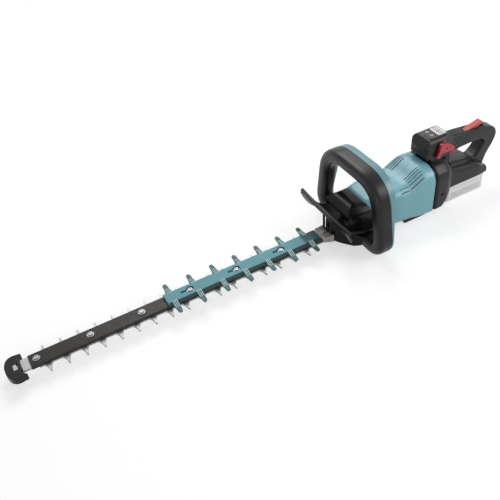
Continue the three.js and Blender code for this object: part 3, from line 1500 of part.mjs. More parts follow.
part('display_panel', displayPanel(), RUBBER);
part('power_button', pushButton(POWER_SPOT), PALE);
part('speed_button', pushButton(SPEED_SPOT), PALE);
part('trigger', trigger(), RED);
part('trigger_pin', pinAcross(...TRIGGER_PIVOT, PIN_R, -PIN_HALF_L, PIN_HALF_L, 12), STEEL);
part('lock_off_lever', lockOffLever(), ORANGE_RED);
part('lock_off_pin', pinAcross(...LEVER_PIVOT, PIN_R, -PIN_HALF_L, PIN_HALF_L, 12), STEEL);
part('swivel_lock_lever', swivelLatch(), RED);
part('swivel_lock_pin', pinAcross(...LATCH_PIVOT, PIN_R, LATCH_Y0, LATCH_Y1 + LATCH_PIN_IN, 12), STEEL);
part('switch_unit', switchUnit(), RUBBER);
part('control_board', controlBoard(), GREEN_BOARD);
part('terminal_block', terminalBlock(), PALE);

// ---------------------------------------------------------------- battery

const SEAM_Z = 27;
const RELEASE = { depth: 7, halfW: 12, z0: 30, z1: 37, travel: 2.5 };

function batteryCase() {
  const outline = rounded([
    [BATTERY_FRONT_X, -BATTERY_HALF_W, 8],
    [BATTERY_REAR_X, -BATTERY_HALF_W, 10],
    [BATTERY_REAR_X, BATTERY_HALF_W, 10],
    [BATTERY_FRONT_X, BATTERY_HALF_W, 8],
  ]);
  const body = slab(outline, BATTERY_BOTTOM_Z, SEAM_Z);
  const room = box(BATTERY_FRONT_X + 5, BATTERY_REAR_X - 6, -BATTERY_HALF_W + 4, BATTERY_HALF_W - 4,
    BATTERY_BOTTOM_Z + 3, SEAM_Z + 1);
  return body.subtract(room);
}

function batteryLid() {
  const outline = rounded([
    [BATTERY_FRONT_X, -BATTERY_HALF_W, 8],
    [BATTERY_REAR_X, -BATTERY_HALF_W, 10],
    [BATTERY_REAR_X, BATTERY_HALF_W, 10],
    [BATTERY_FRONT_X, BATTERY_HALF_W, 8],
  ]);
  let lid = slab(outline, SEAM_Z + GAP, BATTERY_TOP_Z).add(
    rail(railOutline(0, BATTERY_TOP_Z), BATTERY_FRONT_X + 2, BATTERY_REAR_X - 4),
  );
  for (const side of [-1, 1]) {
    lid = lid.subtract(box(BATTERY_FRONT_X - 1, TERMINAL.x1, side * CONTACT_Y - 1.4, side * CONTACT_Y + 1.4,
      SADDLE_Z + 1.5, SADDLE_Z + RAIL_H + 2));
  }
  return lid.subtract(
    box(BATTERY_REAR_X - RELEASE.depth - RELEASE.travel, BATTERY_REAR_X + 1, -RELEASE.halfW - GAP,
      RELEASE.halfW + GAP, RELEASE.z0 - GAP, RELEASE.z1 + GAP),
  );
}

part('battery_case', batteryCase(), PALE);
part('battery_lid', batteryLid(), PALE);
part(
  'battery_release',
  box(BATTERY_REAR_X - RELEASE.depth, BATTERY_REAR_X, -RELEASE.halfW, RELEASE.halfW, RELEASE.z0, RELEASE.z1),
  RED,
);
for (const side of [-1, 1]) {
  const inner = side * (LOOP_FOOT_Y - STUD_LENGTH / 2);
  const outer = side * (LOOP_FOOT_Y + STUD_LENGTH / 2);
  const stud = pinAcross(STUD_X, STUD_Z, STUD_R, Math.min(inner, outer), Math.max(inner, outer), 16);
  part(side < 0 ? 'handle_stud_left' : 'handle_stud_right', stud, STEEL);
}

export default group;
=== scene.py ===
"""Cordless hedge trimmer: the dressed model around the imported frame."""

import math

import bmesh
import bpy
from mathutils import Euler, Matrix, Vector
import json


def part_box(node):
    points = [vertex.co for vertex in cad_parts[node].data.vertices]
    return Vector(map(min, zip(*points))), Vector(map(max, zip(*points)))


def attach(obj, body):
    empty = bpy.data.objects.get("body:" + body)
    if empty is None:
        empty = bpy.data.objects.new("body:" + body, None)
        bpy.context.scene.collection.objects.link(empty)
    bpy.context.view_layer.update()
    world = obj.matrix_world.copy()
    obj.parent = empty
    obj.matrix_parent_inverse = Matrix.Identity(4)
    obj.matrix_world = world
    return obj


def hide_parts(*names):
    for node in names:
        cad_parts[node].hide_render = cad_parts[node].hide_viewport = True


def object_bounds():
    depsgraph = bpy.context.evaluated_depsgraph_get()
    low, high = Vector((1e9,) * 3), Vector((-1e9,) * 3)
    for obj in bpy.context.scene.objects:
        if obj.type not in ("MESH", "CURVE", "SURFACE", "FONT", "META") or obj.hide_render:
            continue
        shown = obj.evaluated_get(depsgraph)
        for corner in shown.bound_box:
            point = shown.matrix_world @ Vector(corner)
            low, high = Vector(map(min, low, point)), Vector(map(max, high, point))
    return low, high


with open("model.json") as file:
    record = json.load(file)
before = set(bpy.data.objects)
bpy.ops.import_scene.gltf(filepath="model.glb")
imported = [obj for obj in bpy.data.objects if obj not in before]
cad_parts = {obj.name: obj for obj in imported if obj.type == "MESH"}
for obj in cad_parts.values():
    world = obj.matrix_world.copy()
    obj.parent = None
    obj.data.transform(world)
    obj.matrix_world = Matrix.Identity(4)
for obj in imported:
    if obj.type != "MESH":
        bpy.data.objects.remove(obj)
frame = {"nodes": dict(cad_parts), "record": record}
cad_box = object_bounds()
MM = 0.001


def added(name, data):
    """Puts a mesh, lamp or camera into the scene as an object."""
    thing = bpy.data.objects.new(name, data)
    bpy.context.scene.collection.objects.link(thing)
    return thing


# ---- camera

camera = bpy.data.cameras.new("camera")
camera.sensor_width = 36
camera.lens = 47.283
camera.clip_start = 0.01
camera_object = added("camera", camera)
camera_object.location = (-0.66393, -0.89799, 0.95572)
camera_object.rotation_euler = Euler([math.radians(a) for a in (48.0129, 4.5675, -28.8307)])
bpy.context.scene.camera = camera_object

# ---- finishes


class Finish:
    """A node material with the few building blocks that the finishes below share."""

    def __init__(self, name, color, roughness, metallic=0.0):
        self.material = bpy.data.materials.new(name)
        self.material.use_nodes = True
        self.tree = self.material.node_tree
        self.shader = self.tree.nodes["Principled BSDF"]
        self.shader.inputs["Base Color"].default_value = (*color, 1)
        self.shader.inputs["Roughness"].default_value = roughness
        self.shader.inputs["Metallic"].default_value = metallic
        self.place = self.add("ShaderNodeTexCoord").outputs["Object"]

    def add(self, kind, **values):
        node = self.tree.nodes.new(kind)
        for key, value in values.items():
            if hasattr(node, key):
                setattr(node, key, value)
            else:
                node.inputs[key.replace("_", " ")].default_value = value
        return node

    def link(self, source, target):
        self.tree.links.new(source, target)

    def stretched(self, scale, turn=(0, 0, 0)):
        mapping = self.add("ShaderNodeMapping")
        mapping.inputs["Scale"].default_value = scale
        mapping.inputs["Rotation"].default_value = [math.radians(a) for a in turn]
        self.link(self.place, mapping.inputs["Vector"])
        return mapping.outputs["Vector"]

    def noise(self, scale, detail=2, roughness=0.5, place=None):
        noise = self.add("ShaderNodeTexNoise", Scale=scale, Detail=detail, Roughness=roughness)
        self.link(place or self.place, noise.inputs["Vector"])
        return noise.outputs["Fac"]

    def ramp(self, factor, stops):
        ramp = self.add("ShaderNodeValToRGB")
        elements = ramp.color_ramp.elements
        while len(elements) < len(stops):
            elements.new(0.5)
        for element, (at, value) in zip(elements, stops):
            element.position = at
            element.color = (*value, 1) if isinstance(value, tuple) else (value, value, value, 1)
        self.link(factor, ramp.inputs["Fac"])
        return ramp.outputs["Color"]

    def mix(self, factor, low, high):
        mix = self.add("ShaderNodeMix", data_type="RGBA")
        if isinstance(factor, float):
            mix.inputs["Factor"].default_value = factor
        else:
            self.link(factor, mix.inputs["Factor"])
        for socket, value in ((mix.inputs[6], low), (mix.inputs[7], high)):
            if isinstance(value, tuple):
                socket.default_value = (*value[:3], 1)
            else:
                self.link(value, socket)
        return mix.outputs[2]

    def edges(self, radius=1.3 * MM, low=0.94, high=0.995):
        """1 on edges and corners, 0 on open faces."""
        soft = self.add("ShaderNodeBevel", samples=6, Radius=radius)
        true = self.add("ShaderNodeNewGeometry")
        dot = self.add("ShaderNodeVectorMath", operation="DOT_PRODUCT")
        self.link(soft.outputs["Normal"], dot.inputs[0])
        self.link(true.outputs["Normal"], dot.inputs[1])
        return self.ramp(dot.outputs["Value"], [(low, 1.0), (high, 0.0)])

    def shade(self, color):
        self.link(color, self.shader.inputs["Base Color"])

    def gloss(self, factor, low, high):
        spread = self.add("ShaderNodeMapRange", To_Min=low, To_Max=high)
        self.link(factor, spread.inputs["Value"])
        self.link(spread.outputs["Result"], self.shader.inputs["Roughness"])

    def relief(self, height, depth, strength=1.0, edge=0.0):
        bump = self.add("ShaderNodeBump", Strength=strength, Distance=depth)
        self.link(height, bump.inputs["Height"])
        if edge:
            soft = self.add("ShaderNodeBevel", samples=4, Radius=edge)
            self.link(soft.outputs["Normal"], bump.inputs["Normal"])
        self.link(bump.outputs["Normal"], self.shader.inputs["Normal"])


def darker(color, share):
    return tuple(c * share for c in color)


def moulded(name, color, roughness, grain=0.00004, edge_wear_and_highlight=0.25, coat=0.0, specular=0.5, tint_and_shade=None):
    """Injection-moulded plastic: fine spark-eroded grain, slight clouding, and lighter edges that stand for rubbing
    wear and, at high settings, a painted edge highlight.
    """
    finish = Finish(name, color, roughness)
    clouds = finish.noise(9, 4, 0.55)
    body = finish.mix(finish.ramp(clouds, [(0.3, 0.0), (0.7, 1.0)]), darker(color, 0.93), darker(color, 1.05))
    # lighter rim colour: rubbing wear, and at high settings a painted highlight along edges and corners
    rubbed_and_lit = tuple(min(1.0, c * (1 + 0.8 * edge_wear_and_highlight) + 0.05 * edge_wear_and_highlight) for c in color)
    spots = finish.noise(160, 3, 0.6)
    mask = finish.add("ShaderNodeMath", operation="MULTIPLY", use_clamp=True)
    finish.link(finish.edges(), mask.inputs[0])
    finish.link(finish.ramp(spots, [(0.35, 0.0), (0.7, 1.0)]), mask.inputs[1])
    # a tint may paint shade into the body colour too; the comb's does
    if tint_and_shade:
        body = tint_and_shade(finish, body)
    finish.shade(finish.mix(mask.outputs["Value"], body, rubbed_and_lit))
    finish.gloss(finish.noise(60, 3, 0.6), roughness - 0.06, roughness + 0.08)
    finish.relief(finish.noise(2600, 2, 0.5), grain, 0.6, edge=0.5 * MM)
    finish.shader.inputs["Coat Weight"].default_value = coat
    finish.shader.inputs["Specular IOR Level"].default_value = specular
    return finish.material


def comb_tint_and_shade(finish, body):
    """Greyer fingers, painted shade on the spine's sloping flanks and finger roots, and a painted shadow over the rear
    end.
    """
    apart = finish.add("ShaderNodeSeparateXYZ")
    finish.link(finish.place, apart.inputs[0])
    across = finish.add("ShaderNodeMath", operation="ABSOLUTE")
    finish.link(apart.outputs["Y"], across.inputs[0])
    # across 13.6-14.6 mm: painted shade on the flanks and finger roots; across 27-33 mm: fingers back to a greyer teal;
    # along X from -130 mm: painted shadow over the rear end
    for source, low, high, color in ((across.outputs["Value"], 13.6, 14.6, (0.035, 0.080, 0.086)),
                                     (across.outputs["Value"], 27, 33, (0.075, 0.165, 0.175)),
                                     (apart.outputs["X"], -130, -123, (0.028, 0.075, 0.092))):
        reach = finish.add("ShaderNodeMapRange", From_Min=low * MM, From_Max=high * MM)
        finish.link(source, reach.inputs["Value"])
        body = finish.mix(reach.outputs["Result"], body, color)
    return body


def overmould(name, color):
    """Soft grip rubber: matt, dusty in the open, with a faint pebble."""
    finish = Finish(name, color, 0.32)
    dust = finish.ramp(finish.noise(35, 5, 0.62), [(0.45, 0.0), (0.8, 1.0)])
    finish.shade(finish.mix(dust, darker(color, 0.92), tuple(c * 1.2 + 0.003 for c in color)))
    cells = finish.add("ShaderNodeTexVoronoi", Scale=1400)
    finish.link(finish.place, cells.inputs["Vector"])
    finish.gloss(finish.noise(80, 3, 0.6), 0.26, 0.38)
    finish.relief(cells.outputs["Distance"], 0.00005, 0.5, edge=0.6 * MM)
    finish.shader.inputs["Sheen Weight"].default_value = 0.03
    finish.shader.inputs["Specular IOR Level"].default_value = 0.26
    return finish.material


def ground_steel(name, color, roughness, along=(900, 14, 900)):
    """Ground or brushed steel: fine scratches one way, faint stains."""
    finish = Finish(name, color, roughness, 0.85)
    scratches = finish.noise(1.0, 3, 0.6, finish.stretched(along))
    stains = finish.ramp(finish.noise(45, 4, 0.65), [(0.4, 0.0), (0.75, 1.0)])
    finish.shade(finish.mix(stains, color, darker(color, 0.82)))
    finish.gloss(scratches, roughness - 0.08, roughness + 0.14)
    finish.relief(scratches, 0.00003, 0.35, edge=0.25 * MM)
    return finish.material


def blackened_steel(name, color):
    """Blackened sheet: brown-black scale with rubbed, brighter edges and specks."""
    finish = Finish(name, color, 0.45, 0.55)
    scale = finish.ramp(finish.noise(70, 6, 0.7), [(0.35, 0.0), (0.7, 1.0)])
    body = finish.mix(scale, darker(color, 0.8), darker(color, 1.35))
    specks = finish.ramp(finish.noise(420, 2, 0.5), [(0.66, 0.0), (0.74, 1.0)])
    flecked = finish.mix(specks, body, (0.16, 0.15, 0.14))
    finish.shade(finish.mix(finish.edges(0.7 * MM), flecked, (0.23, 0.22, 0.21)))
    finish.gloss(scale, 0.38, 0.58)
    finish.relief(finish.noise(300, 4, 0.6), 0.00006, 0.5, edge=0.35 * MM)
    return finish.material


def cast_metal(name, color):
    """Cast and shot-blasted metal with a dull, pitted skin."""
    roughness = 0.55
    finish = Finish(name, color, roughness, 0.75)
    tone = finish.ramp(finish.noise(120, 5, 0.65), [(0.3, 0.0), (0.7, 1.0)])
    finish.shade(finish.mix(tone, darker(color, 0.72), darker(color, 1.12)))
    finish.gloss(tone, roughness - 0.08, roughness + 0.12)
    finish.relief(finish.noise(900, 4, 0.6), 0.00012, 0.7, edge=0.5 * MM)
    return finish.material


def lacquered(name, color, roughness=0.08):
    """Gloss panel with faint wipe marks."""
    finish = Finish(name, color, roughness)
    wipes = finish.noise(1.0, 4, 0.6, finish.stretched((60, 240, 60), (0, 0, 30)))
    finish.gloss(wipes, roughness, roughness + 0.14)
    finish.shade(finish.mix(finish.noise(20), darker(color, 0.9), darker(color, 1.1)))
    finish.relief(wipes, 0.00001, 0.3, edge=0.3 * MM)
    finish.shader.inputs["Coat Weight"].default_value = 0.6
    return finish.material


FINISHES = {
    "teal_plastic": moulded("teal_shell", (0.18, 0.425, 0.495), 0.36, coat=0.15),
    "dark_teal_plastic": moulded("comb_teal", (0.125, 0.32, 0.365), 0.45, specular=0.22, tint_and_shade=comb_tint_and_shade),
    # the strong edge lightening on the charcoal shell is mostly a painted highlight along its edges
    "charcoal_plastic": moulded("charcoal_shell", (0.013, 0.012, 0.013), 0.31, grain=0.00006, edge_wear_and_highlight=1.2, specular=0.26),
    "soft_grip": overmould("grip_rubber", (0.009, 0.009, 0.0095)),
    "panel_plastic": lacquered("display_gloss", (0.012, 0.012, 0.014)),
    "black_steel": blackened_steel("blackened_cover", (0.020, 0.018, 0.016)),
    "bright_steel": ground_steel("ground_steel", (0.42, 0.43, 0.44), 0.45),
    "cast_metal": cast_metal("cast_root", (0.36, 0.33, 0.30)),
    "red_plastic": moulded("signal_red", (0.42, 0.018, 0.03), 0.34, coat=0.15),
    "orange_plastic": moulded("signal_orange", (0.50, 0.06, 0.045), 0.36, coat=0.1),
    "pale_plastic": moulded("pale_shell", (0.80, 0.79, 0.79), 0.36, edge_wear_and_highlight=0.1),
    "copper_windings": ground_steel("copper_windings", (0.60, 0.25, 0.12), 0.35, (600, 600, 30)),
    "circuit_board": lacquered("board_lacquer", (0.03, 0.14, 0.06), 0.3),
}
GEAR_BLACK = moulded("gear_black", (0.006, 0.006, 0.007), 0.25, edge_wear_and_highlight=0.6, specular=0.15)
# the loop back's strong edge lightening paints the highlight line along its front edge
LOOP_TEAL = moulded("loop_teal", (0.13, 0.285, 0.325), 0.36, edge_wear_and_highlight=1.2, coat=0.15)
# lighter teal for the comb's ribs: a painted highlight on the rib tops
RIB_HIGHLIGHT_TEAL = moulded("rib_highlight_teal", (0.42, 0.60, 0.62), 0.4)
# lighter teal for strips beside the louvre slots: a painted highlight on the slot lips
FIN_HIGHLIGHT_TEAL = moulded("fin_highlight_teal", (0.30, 0.49, 0.56), 0.36)
PRINT_WHITE = moulded("print_white", (0.80, 0.80, 0.80), 0.4, edge_wear_and_highlight=0.0)

# ---- making pieces

slot_of = {s["node"]: s["material_slot"] for s in frame["record"]["subparts"]}
body_of = {node: body for body, nodes in frame["record"]["behaviour"]["bodies"].items() for node in nodes}
dressed = set()


def span(node):
    """Lowest and highest corner of a node in millimetres."""
    return [[v / MM for v in corner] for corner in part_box(node)]


def meshed(name, bm):
    """Mesh data from a bmesh, which is freed."""
    mesh = bpy.data.meshes.new(name)
    bm.to_mesh(mesh)
    bm.free()
    return mesh


def shown(name, bm, like, replaces=(), angle=35, finish=None):
    """Turns a bmesh in millimetres into a piece that rides with a node; edges sharper than angle stay sharp."""
    bmesh.ops.scale(bm, vec=(MM, MM, MM), verts=bm.verts)
    mesh = meshed(name, bm)
    mesh.shade_smooth()
    mesh.set_sharp_from_angle(angle=math.radians(angle))
    piece = added(name, mesh)
    mesh.materials.append(finish or FINISHES[slot_of[like]])
    piece.modifiers.new("even_normals", "WEIGHTED_NORMAL").keep_sharp = True
    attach(piece, body_of[like])
    if replaces:
        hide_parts(*replaces)
        dressed.update(replaces)


def refined(node, finish=None):
    """A copy of a CAD node with merged points and smooth curves."""
    bm = bmesh.new()
    bm.from_mesh(frame["nodes"][node].data)
    bmesh.ops.remove_doubles(bm, verts=bm.verts, dist=0.01 * MM)
    bmesh.ops.dissolve_limit(bm, angle_limit=math.radians(0.5), verts=bm.verts[:], edges=bm.edges[:])
    bmesh.ops.scale(bm, vec=(1 / MM,) * 3, verts=bm.verts)
    shown(node + "_finished", bm, node, [node], angle=32, finish=finish)


def block(x0, x1, y0, y1, z0, z1, edge=0.0, segments=2):
    """Square block, with broken edges where asked."""
    bm = bmesh.new()
    bmesh.ops.create_cube(bm, size=1)
    bmesh.ops.scale(bm, vec=(x1 - x0, y1 - y0, z1 - z0), verts=bm.verts)
    bmesh.ops.translate(bm, vec=((x0 + x1) / 2, (y0 + y1) / 2, (z0 + z1) / 2), verts=bm.verts)
    if edge:
        round_edges(bm, bm.edges[:], edge, segments)
    return bm


def round_edges(bm, edges, width, segments=2):
    bmesh.ops.bevel(bm, geom=edges, offset=width, segments=segments, profile=0.5, affect="EDGES",
                    material=-1, clamp_overlap=True)


AXES = {
    "z": Matrix.Identity(4),
    "y": Matrix(((1, 0, 0, 0), (0, 0, 1, 0), (0, 1, 0, 0), (0, 0, 0, 1))),
    "x": Matrix(((0, 0, 1, 0), (1, 0, 0, 0), (0, 1, 0, 0), (0, 0, 0, 1))),
}


def post(centre, radius, low, high, sides=32, along="z", top_radius=None, edge=0.0):
    """Round bar or cone from low to high along an axis; centre holds the other two places."""
    bm = bmesh.new()
    bmesh.ops.create_cone(bm, cap_ends=True, segments=sides, radius1=radius, radius2=top_radius or radius,
                          depth=high - low)
    bmesh.ops.translate(bm, vec=(*centre, (low + high) / 2), verts=bm.verts)
    if edge:
        round_edges(bm, rim_edges(bm, low, high), edge)
    bmesh.ops.transform(bm, matrix=AXES[along], verts=bm.verts)
    bmesh.ops.recalc_face_normals(bm, faces=bm.faces)
    return bm


def rim_edges(bm, *heights):
    """Edges that lie wholly at one of the heights."""
    return [e for e in bm.edges
            if any(all(abs(v.co.z - h) < 1e-4 for v in e.verts) for h in heights)]


def outline(corners, steps=6):
    """A flat face through corners (a, b, radius), each rounded by its own radius."""
    bm = bmesh.new()
    verts = [bm.verts.new((corner[0], corner[1], 0)) for corner in corners]
    bm.faces.new(verts)
    reach = []
    for i, corner in enumerate(corners):
        spot = verts[i].co
        runs = [(verts[i - 1].co - spot).length, (verts[(i + 1) % len(verts)].co - spot).length]
        reach.append(min([corner[2] if len(corner) > 2 else 0] + [0.49 * run for run in runs]))
    for vert, radius in zip(verts, reach):
        if radius > 0:
            bmesh.ops.bevel(bm, geom=[vert], offset=radius, segments=steps, profile=0.5,
                            affect="VERTICES", material=-1, clamp_overlap=False)
    return bm


def plate(corners, low, high, along="z", edge=0.0, segments=3, steps=6):
    """An outline given thickness along an axis, with rounded rims."""
    bm = outline(corners, steps)
    bmesh.ops.translate(bm, vec=(0, 0, low), verts=bm.verts)
    grown = bmesh.ops.extrude_face_region(bm, geom=bm.faces[:])["geom"]
    bmesh.ops.translate(bm, vec=(0, 0, high - low), verts=[g for g in grown if isinstance(g, bmesh.types.BMVert)])
    bmesh.ops.recalc_face_normals(bm, faces=bm.faces)
    if edge:
        round_edges(bm, rim_edges(bm, low, high), edge, segments)
    bmesh.ops.transform(bm, matrix=AXES[along], verts=bm.verts)
    bmesh.ops.recalc_face_normals(bm, faces=bm.faces)
    return bm


def both_sides(edge):
    """Plan corners mirrored over the centre line."""
    return [*edge, *[(x, -y, *rest) for x, y, *rest in reversed(edge)]]


def loft(rings):
    """Closed skin over rings of equal point count, each a list of points."""
    bm = bmesh.new()
    loops = []
    for points in rings:
        verts = bmesh.ops.create_circle(bm, segments=len(points), radius=1)["verts"]
        for vert, point in zip(verts, points):
            vert.co = point
        loops.append(sorted({e for v in verts for e in v.link_edges}, key=lambda e: e.index))
    for first, second in zip(loops, loops[1:]):
        bmesh.ops.bridge_loops(bm, edges=first + second)
    for loop in (loops[0], loops[-1]):
        bmesh.ops.edgeloop_fill(bm, edges=loop)
    bmesh.ops.recalc_face_normals(bm, faces=bm.faces)
    return bm


def boxy(x, half_w, top, bottom, round_top, round_low, steps=8):
    """Rounded rectangle across X: one section of a housing."""
    centres = ((half_w - round_top, top - round_top, round_top), (round_top - half_w, top - round_top, round_top),
               (round_low - half_w, bottom + round_low, round_low), (half_w - round_low, bottom + round_low, round_low))
    points = []
    for quarter, (y, z, radius) in enumerate(centres):
        for step in range(steps + 1):
            angle = math.pi / 2 * (quarter + step / steps)
            points.append((x, y + radius * math.cos(angle), z + radius * math.sin(angle)))
    return points


def eased(stations, fine):
    """Smooth run through rows of numbers; fine extra rows between two."""
    rows = []
    for i in range(len(stations) - 1):
        a, b = stations[i], stations[i + 1]
        before, after = stations[max(i - 1, 0)], stations[min(i + 2, len(stations) - 1)]
        for step in range(fine):
            t = step / fine
            row = []
            for p, q, r, s in zip(before, a, b, after):
                pull_in, pull_out = (r - p) / 2, (s - q) / 2
                if (r - q) * (q - p) <= 0:
                    pull_in = 0
                if (s - r) * (r - q) <= 0:
                    pull_out = 0
                row.append((2 * t ** 3 - 3 * t ** 2 + 1) * q + (t ** 3 - 2 * t ** 2 + t) * pull_in
                           + (3 * t ** 2 - 2 * t ** 3) * r + (t ** 3 - t ** 2) * pull_out)
            row[0] = a[0] + (b[0] - a[0]) * t
            rows.append(row)
    rows.append(list(stations[-1]))
    return rows


def combined(base, others, operation):
    """Joins closed shapes to a base, or cuts or keeps what they share, one after another."""
    for other in others:
        body, tool = [added("form", meshed("form", bm)) for bm in (base, other)]
        step = body.modifiers.new("step", "BOOLEAN")
        step.operation = operation
        step.solver = "EXACT"
        step.object = tool
        bpy.context.view_layer.update()
        base = bmesh.new()
        base.from_object(body, bpy.context.evaluated_depsgraph_get())
        for form in (body, tool):
            mesh = form.data
            bpy.data.objects.remove(form)
            bpy.data.meshes.remove(mesh)
        bmesh.ops.remove_doubles(base, verts=base.verts, dist=0.01)
    return base


def gathered(forms):
    """Several shapes that do not touch, held as one."""
    whole = bmesh.new()
    for form in forms:
        mesh = meshed("form", form)
        whole.from_mesh(mesh)
        bpy.data.meshes.remove(mesh)
    return whole


def cut(base, *others):
    return combined(base, others, "DIFFERENCE")


def joined(base, *others):
    return combined(base, others, "UNION")


def kept(base, *others):
    return combined(base, others, "INTERSECT")


SEAM = 0.15  # from the centre plane to either half's face


def side_half(bm, side):
    """The left (-1) or right (1) half of a closed shape, closed again along the joint line."""
    half = bm.copy()
    cut_edges = bmesh.ops.bisect_plane(half, geom=half.verts[:] + half.edges[:] + half.faces[:], dist=1e-4,
                                       plane_co=(0, side * SEAM, 0), plane_no=(0, -side, 0), clear_outer=True)
    rim = [e for e in cut_edges["geom_cut"] if isinstance(e, bmesh.types.BMEdge)]
    bmesh.ops.holes_fill(half, edges=rim, sides=0)
    bmesh.ops.recalc_face_normals(half, faces=half.faces)
    return half


# clearance holes, by radius
BOLT_HOLE = 3.3
PIN_HOLE = 2.3
SPINDLE_HOLE = 14.3

SIDES = ((-1, "left"), (1, "right"))

# ---- front loop handle

grip_low, grip_high = span("front_grip")
back_front = span("front_handle_back")[0][0]
LOOP_THICK = 31
LOOP_HALF = 124.9
LOOP_TOP = grip_high[2]
LOOP_FOOT = 62
LOOP_REAR = 22
GRIP_FRONT, GRIP_REAR = grip_low[0], grip_high[0]
CURVE_STEPS = 14
SECTION_STEPS = 6


def turned(before, corner, after, radius, steps):
    """Points of the soft curve that takes the place of a corner."""
    start = corner + (before - corner).normalized() * radius
    end = corner + (after - corner).normalized() * radius
    return [start * (1 - t) ** 2 + corner * 2 * t * (1 - t) + end * t ** 2
            for t in [step / steps for step in range(steps + 1)]]


def loop_line():
    """Centre line of the loop (y, z) from the left foot over the top to the right foot."""
    half = LOOP_THICK / 2
    low, high = grip_low[2] + half, LOOP_TOP - half
    wide, top = LOOP_HALF - half, 101 - half
    corners = [(-LOOP_FOOT, low, 0), (-wide, low, 34), (-top, high, 56), (top, high, 56), (wide, low, 34),
               (LOOP_FOOT, low, 0)]
    corners = [(Vector(c[:2]), c[2]) for c in corners]
    line = [corners[0][0]]
    for (before, _), (corner, radius), (after, _) in zip(corners, corners[1:], corners[2:]):
        line += turned(before, corner, after, radius, CURVE_STEPS)
    line.append(corners[-1][0])
    return line


def bent_corners(corners):
    """Points of a section (across, x) with corners drawn as soft curves."""
    spots = [Vector(c[:2]) for c in corners]
    points = []
    for i, (_, _, radius) in enumerate(corners):
        points += turned(spots[i - 1], spots[i], spots[(i + 1) % len(spots)], radius, SECTION_STEPS)
    return points


def soft_step(value, low, high):
    """0 below low, 1 above high, and an easy slope between."""
    t = min(1, max(0, (value - low) / (high - low)))
    return t * t * (3 - 2 * t)


def around_loop(section, swell=0.0, rear_from=0.0):
    """A section carried round the loop; whatever lies behind rear_from swells towards the top."""
    line = loop_line()
    rings = []
    for i, spot in enumerate(line):
        run = (line[min(i + 1, len(line) - 1)] - line[max(i - 1, 0)]).normalized()
        extra = swell * soft_step(spot.y, LOOP_TOP * 0.3, LOOP_TOP * 0.95)
        rings.append([(x + (extra if x > rear_from else 0), spot.x - run.y * across, spot.y + run.x * across)
                      for across, x in section])
    return loft(rings)


half = LOOP_THICK / 2
grip = around_loop(bent_corners([(-half, GRIP_FRONT, 13), (half, GRIP_FRONT, 13), (half, GRIP_REAR, 2.2),
                                 (-half, GRIP_REAR, 10)]))
shown("loop_grip", grip, "front_grip", ["front_grip"], angle=50)

inner, outer = -LOOP_THICK * 0.62 + half - 0.8, half - 0.8
back = around_loop(bent_corners([(inner, back_front, 1.2), (outer, back_front, 1.2), (outer, LOOP_REAR, 4.5),
                                 (inner, LOOP_REAR, 4.5)]), swell=12, rear_from=back_front + 3)
shown("loop_back", back, "front_handle_back", ["front_handle_back"], angle=50, finish=LOOP_TEAL)

# ---- motor housing

SWIVEL_X = span("swivel_ring")[0][0] - 0.3
SWIVEL_Z = 67
WALL = 3


def swivel_face(x, shrink=0.0):
    """The square, round-cornered section where housing, ring and drum meet."""
    side = 57 - shrink
    return (x, side, SWIVEL_Z + side, SWIVEL_Z - side, 36 - shrink, 10 - shrink)


HOOD = [(0, 34, 94, 76, 8, 8), (16, 42, 99, 70, 16, 4), (46, 50, 100, 66, 20, 4)]
BARREL = [(47, 50, 100, 16, 20, 14), (84, 53, 101, 15, 22, 14), (118, 54, 104, 13, 26, 14), swivel_face(150, 1),
          swivel_face(SWIVEL_X)]


def drawn_in(row, shrink):
    """A section brought in by a distance on every side."""
    x, w, t, b, r, low_r = row
    return x, w - shrink, t - shrink, b + shrink, max(r - shrink, 0.5), max(low_r - shrink, 0.5)


def housing_form(shrink=0.0):
    """Hood over the gear case and barrel behind it, brought in by a distance."""
    hood, barrel = [[drawn_in(row, shrink) for row in eased(rows, fine)]
                    for rows, fine in ((HOOD, 4), (BARREL, 5))]
    if shrink:
        for rows, end in ((hood, 0), (hood, -1), (barrel, 0)):
            rows[end] = (rows[end][0] + shrink, *rows[end][1:])
        barrel[-1] = (SWIVEL_X - 4, *barrel[-1][1:])
    return loft([boxy(*row) for row in hood + barrel])


def case_form(grow=0.0, side_steps=6):
    """Outer form of the gear case: base with a prow, narrower waist and domed cap."""
    rear, rear_half = 84 + grow, 43 + grow
    side = [(-60 - grow, 14 - grow, 3), (-22, -grow, 3), (rear, -grow, 3), (rear, 58 + grow, 6), (76, 78 + grow, 6),
            (18 + grow, 78 + grow, 0), (10 + grow, 98 + grow, 8), (-20, 104 + grow, 20), (-41 - grow, 88 + grow, 8),
            (-45 - grow, 76, 3), (-41 - grow, 72, 2), (-47 - grow, 58, 8), (-60 - grow, 38 + grow, 5)]
    base = both_sides([(-60 - grow, 13 + grow, 5), (-48 - grow, 27 + grow, 10), (-26, 42 + grow, 12),
                       (-6, 52 + grow, 12), (28, 52 + grow, 8), (44, rear_half, 6), (rear, rear_half, 12)])
    waist = both_sides([(-60 - grow, 13 + grow, 5), (-34, 36 + grow, 10), (-8, 43 + grow, 10), (rear, rear_half, 12)])
    cap = both_sides([(-45 - grow, 36, 6), (-39 - grow, 45 + grow, 8), (-20, 47 + grow, 10), (28, 47 + grow, 8),
                      (44, rear_half, 6), (rear, rear_half, 12)])
    wide = 47 + grow
    crown = [(-wide, 76 - grow, 1), (wide, 76 - grow, 1), (wide, 84, 14), (24, 104 + grow, 14), (-24, 104 + grow, 14),
             (-wide, 84, 14)]
    soft = 0.0 if grow else 0.9
    domed = kept(plate(cap, 76 - grow, 140), plate(crown, -140, 140, "x", steps=8))
    whole = joined(plate(base, -grow, 48, edge=soft), plate(waist, 42, 77), domed)
    return kept(whole, plate(side, -140, 140, "y", steps=side_steps))


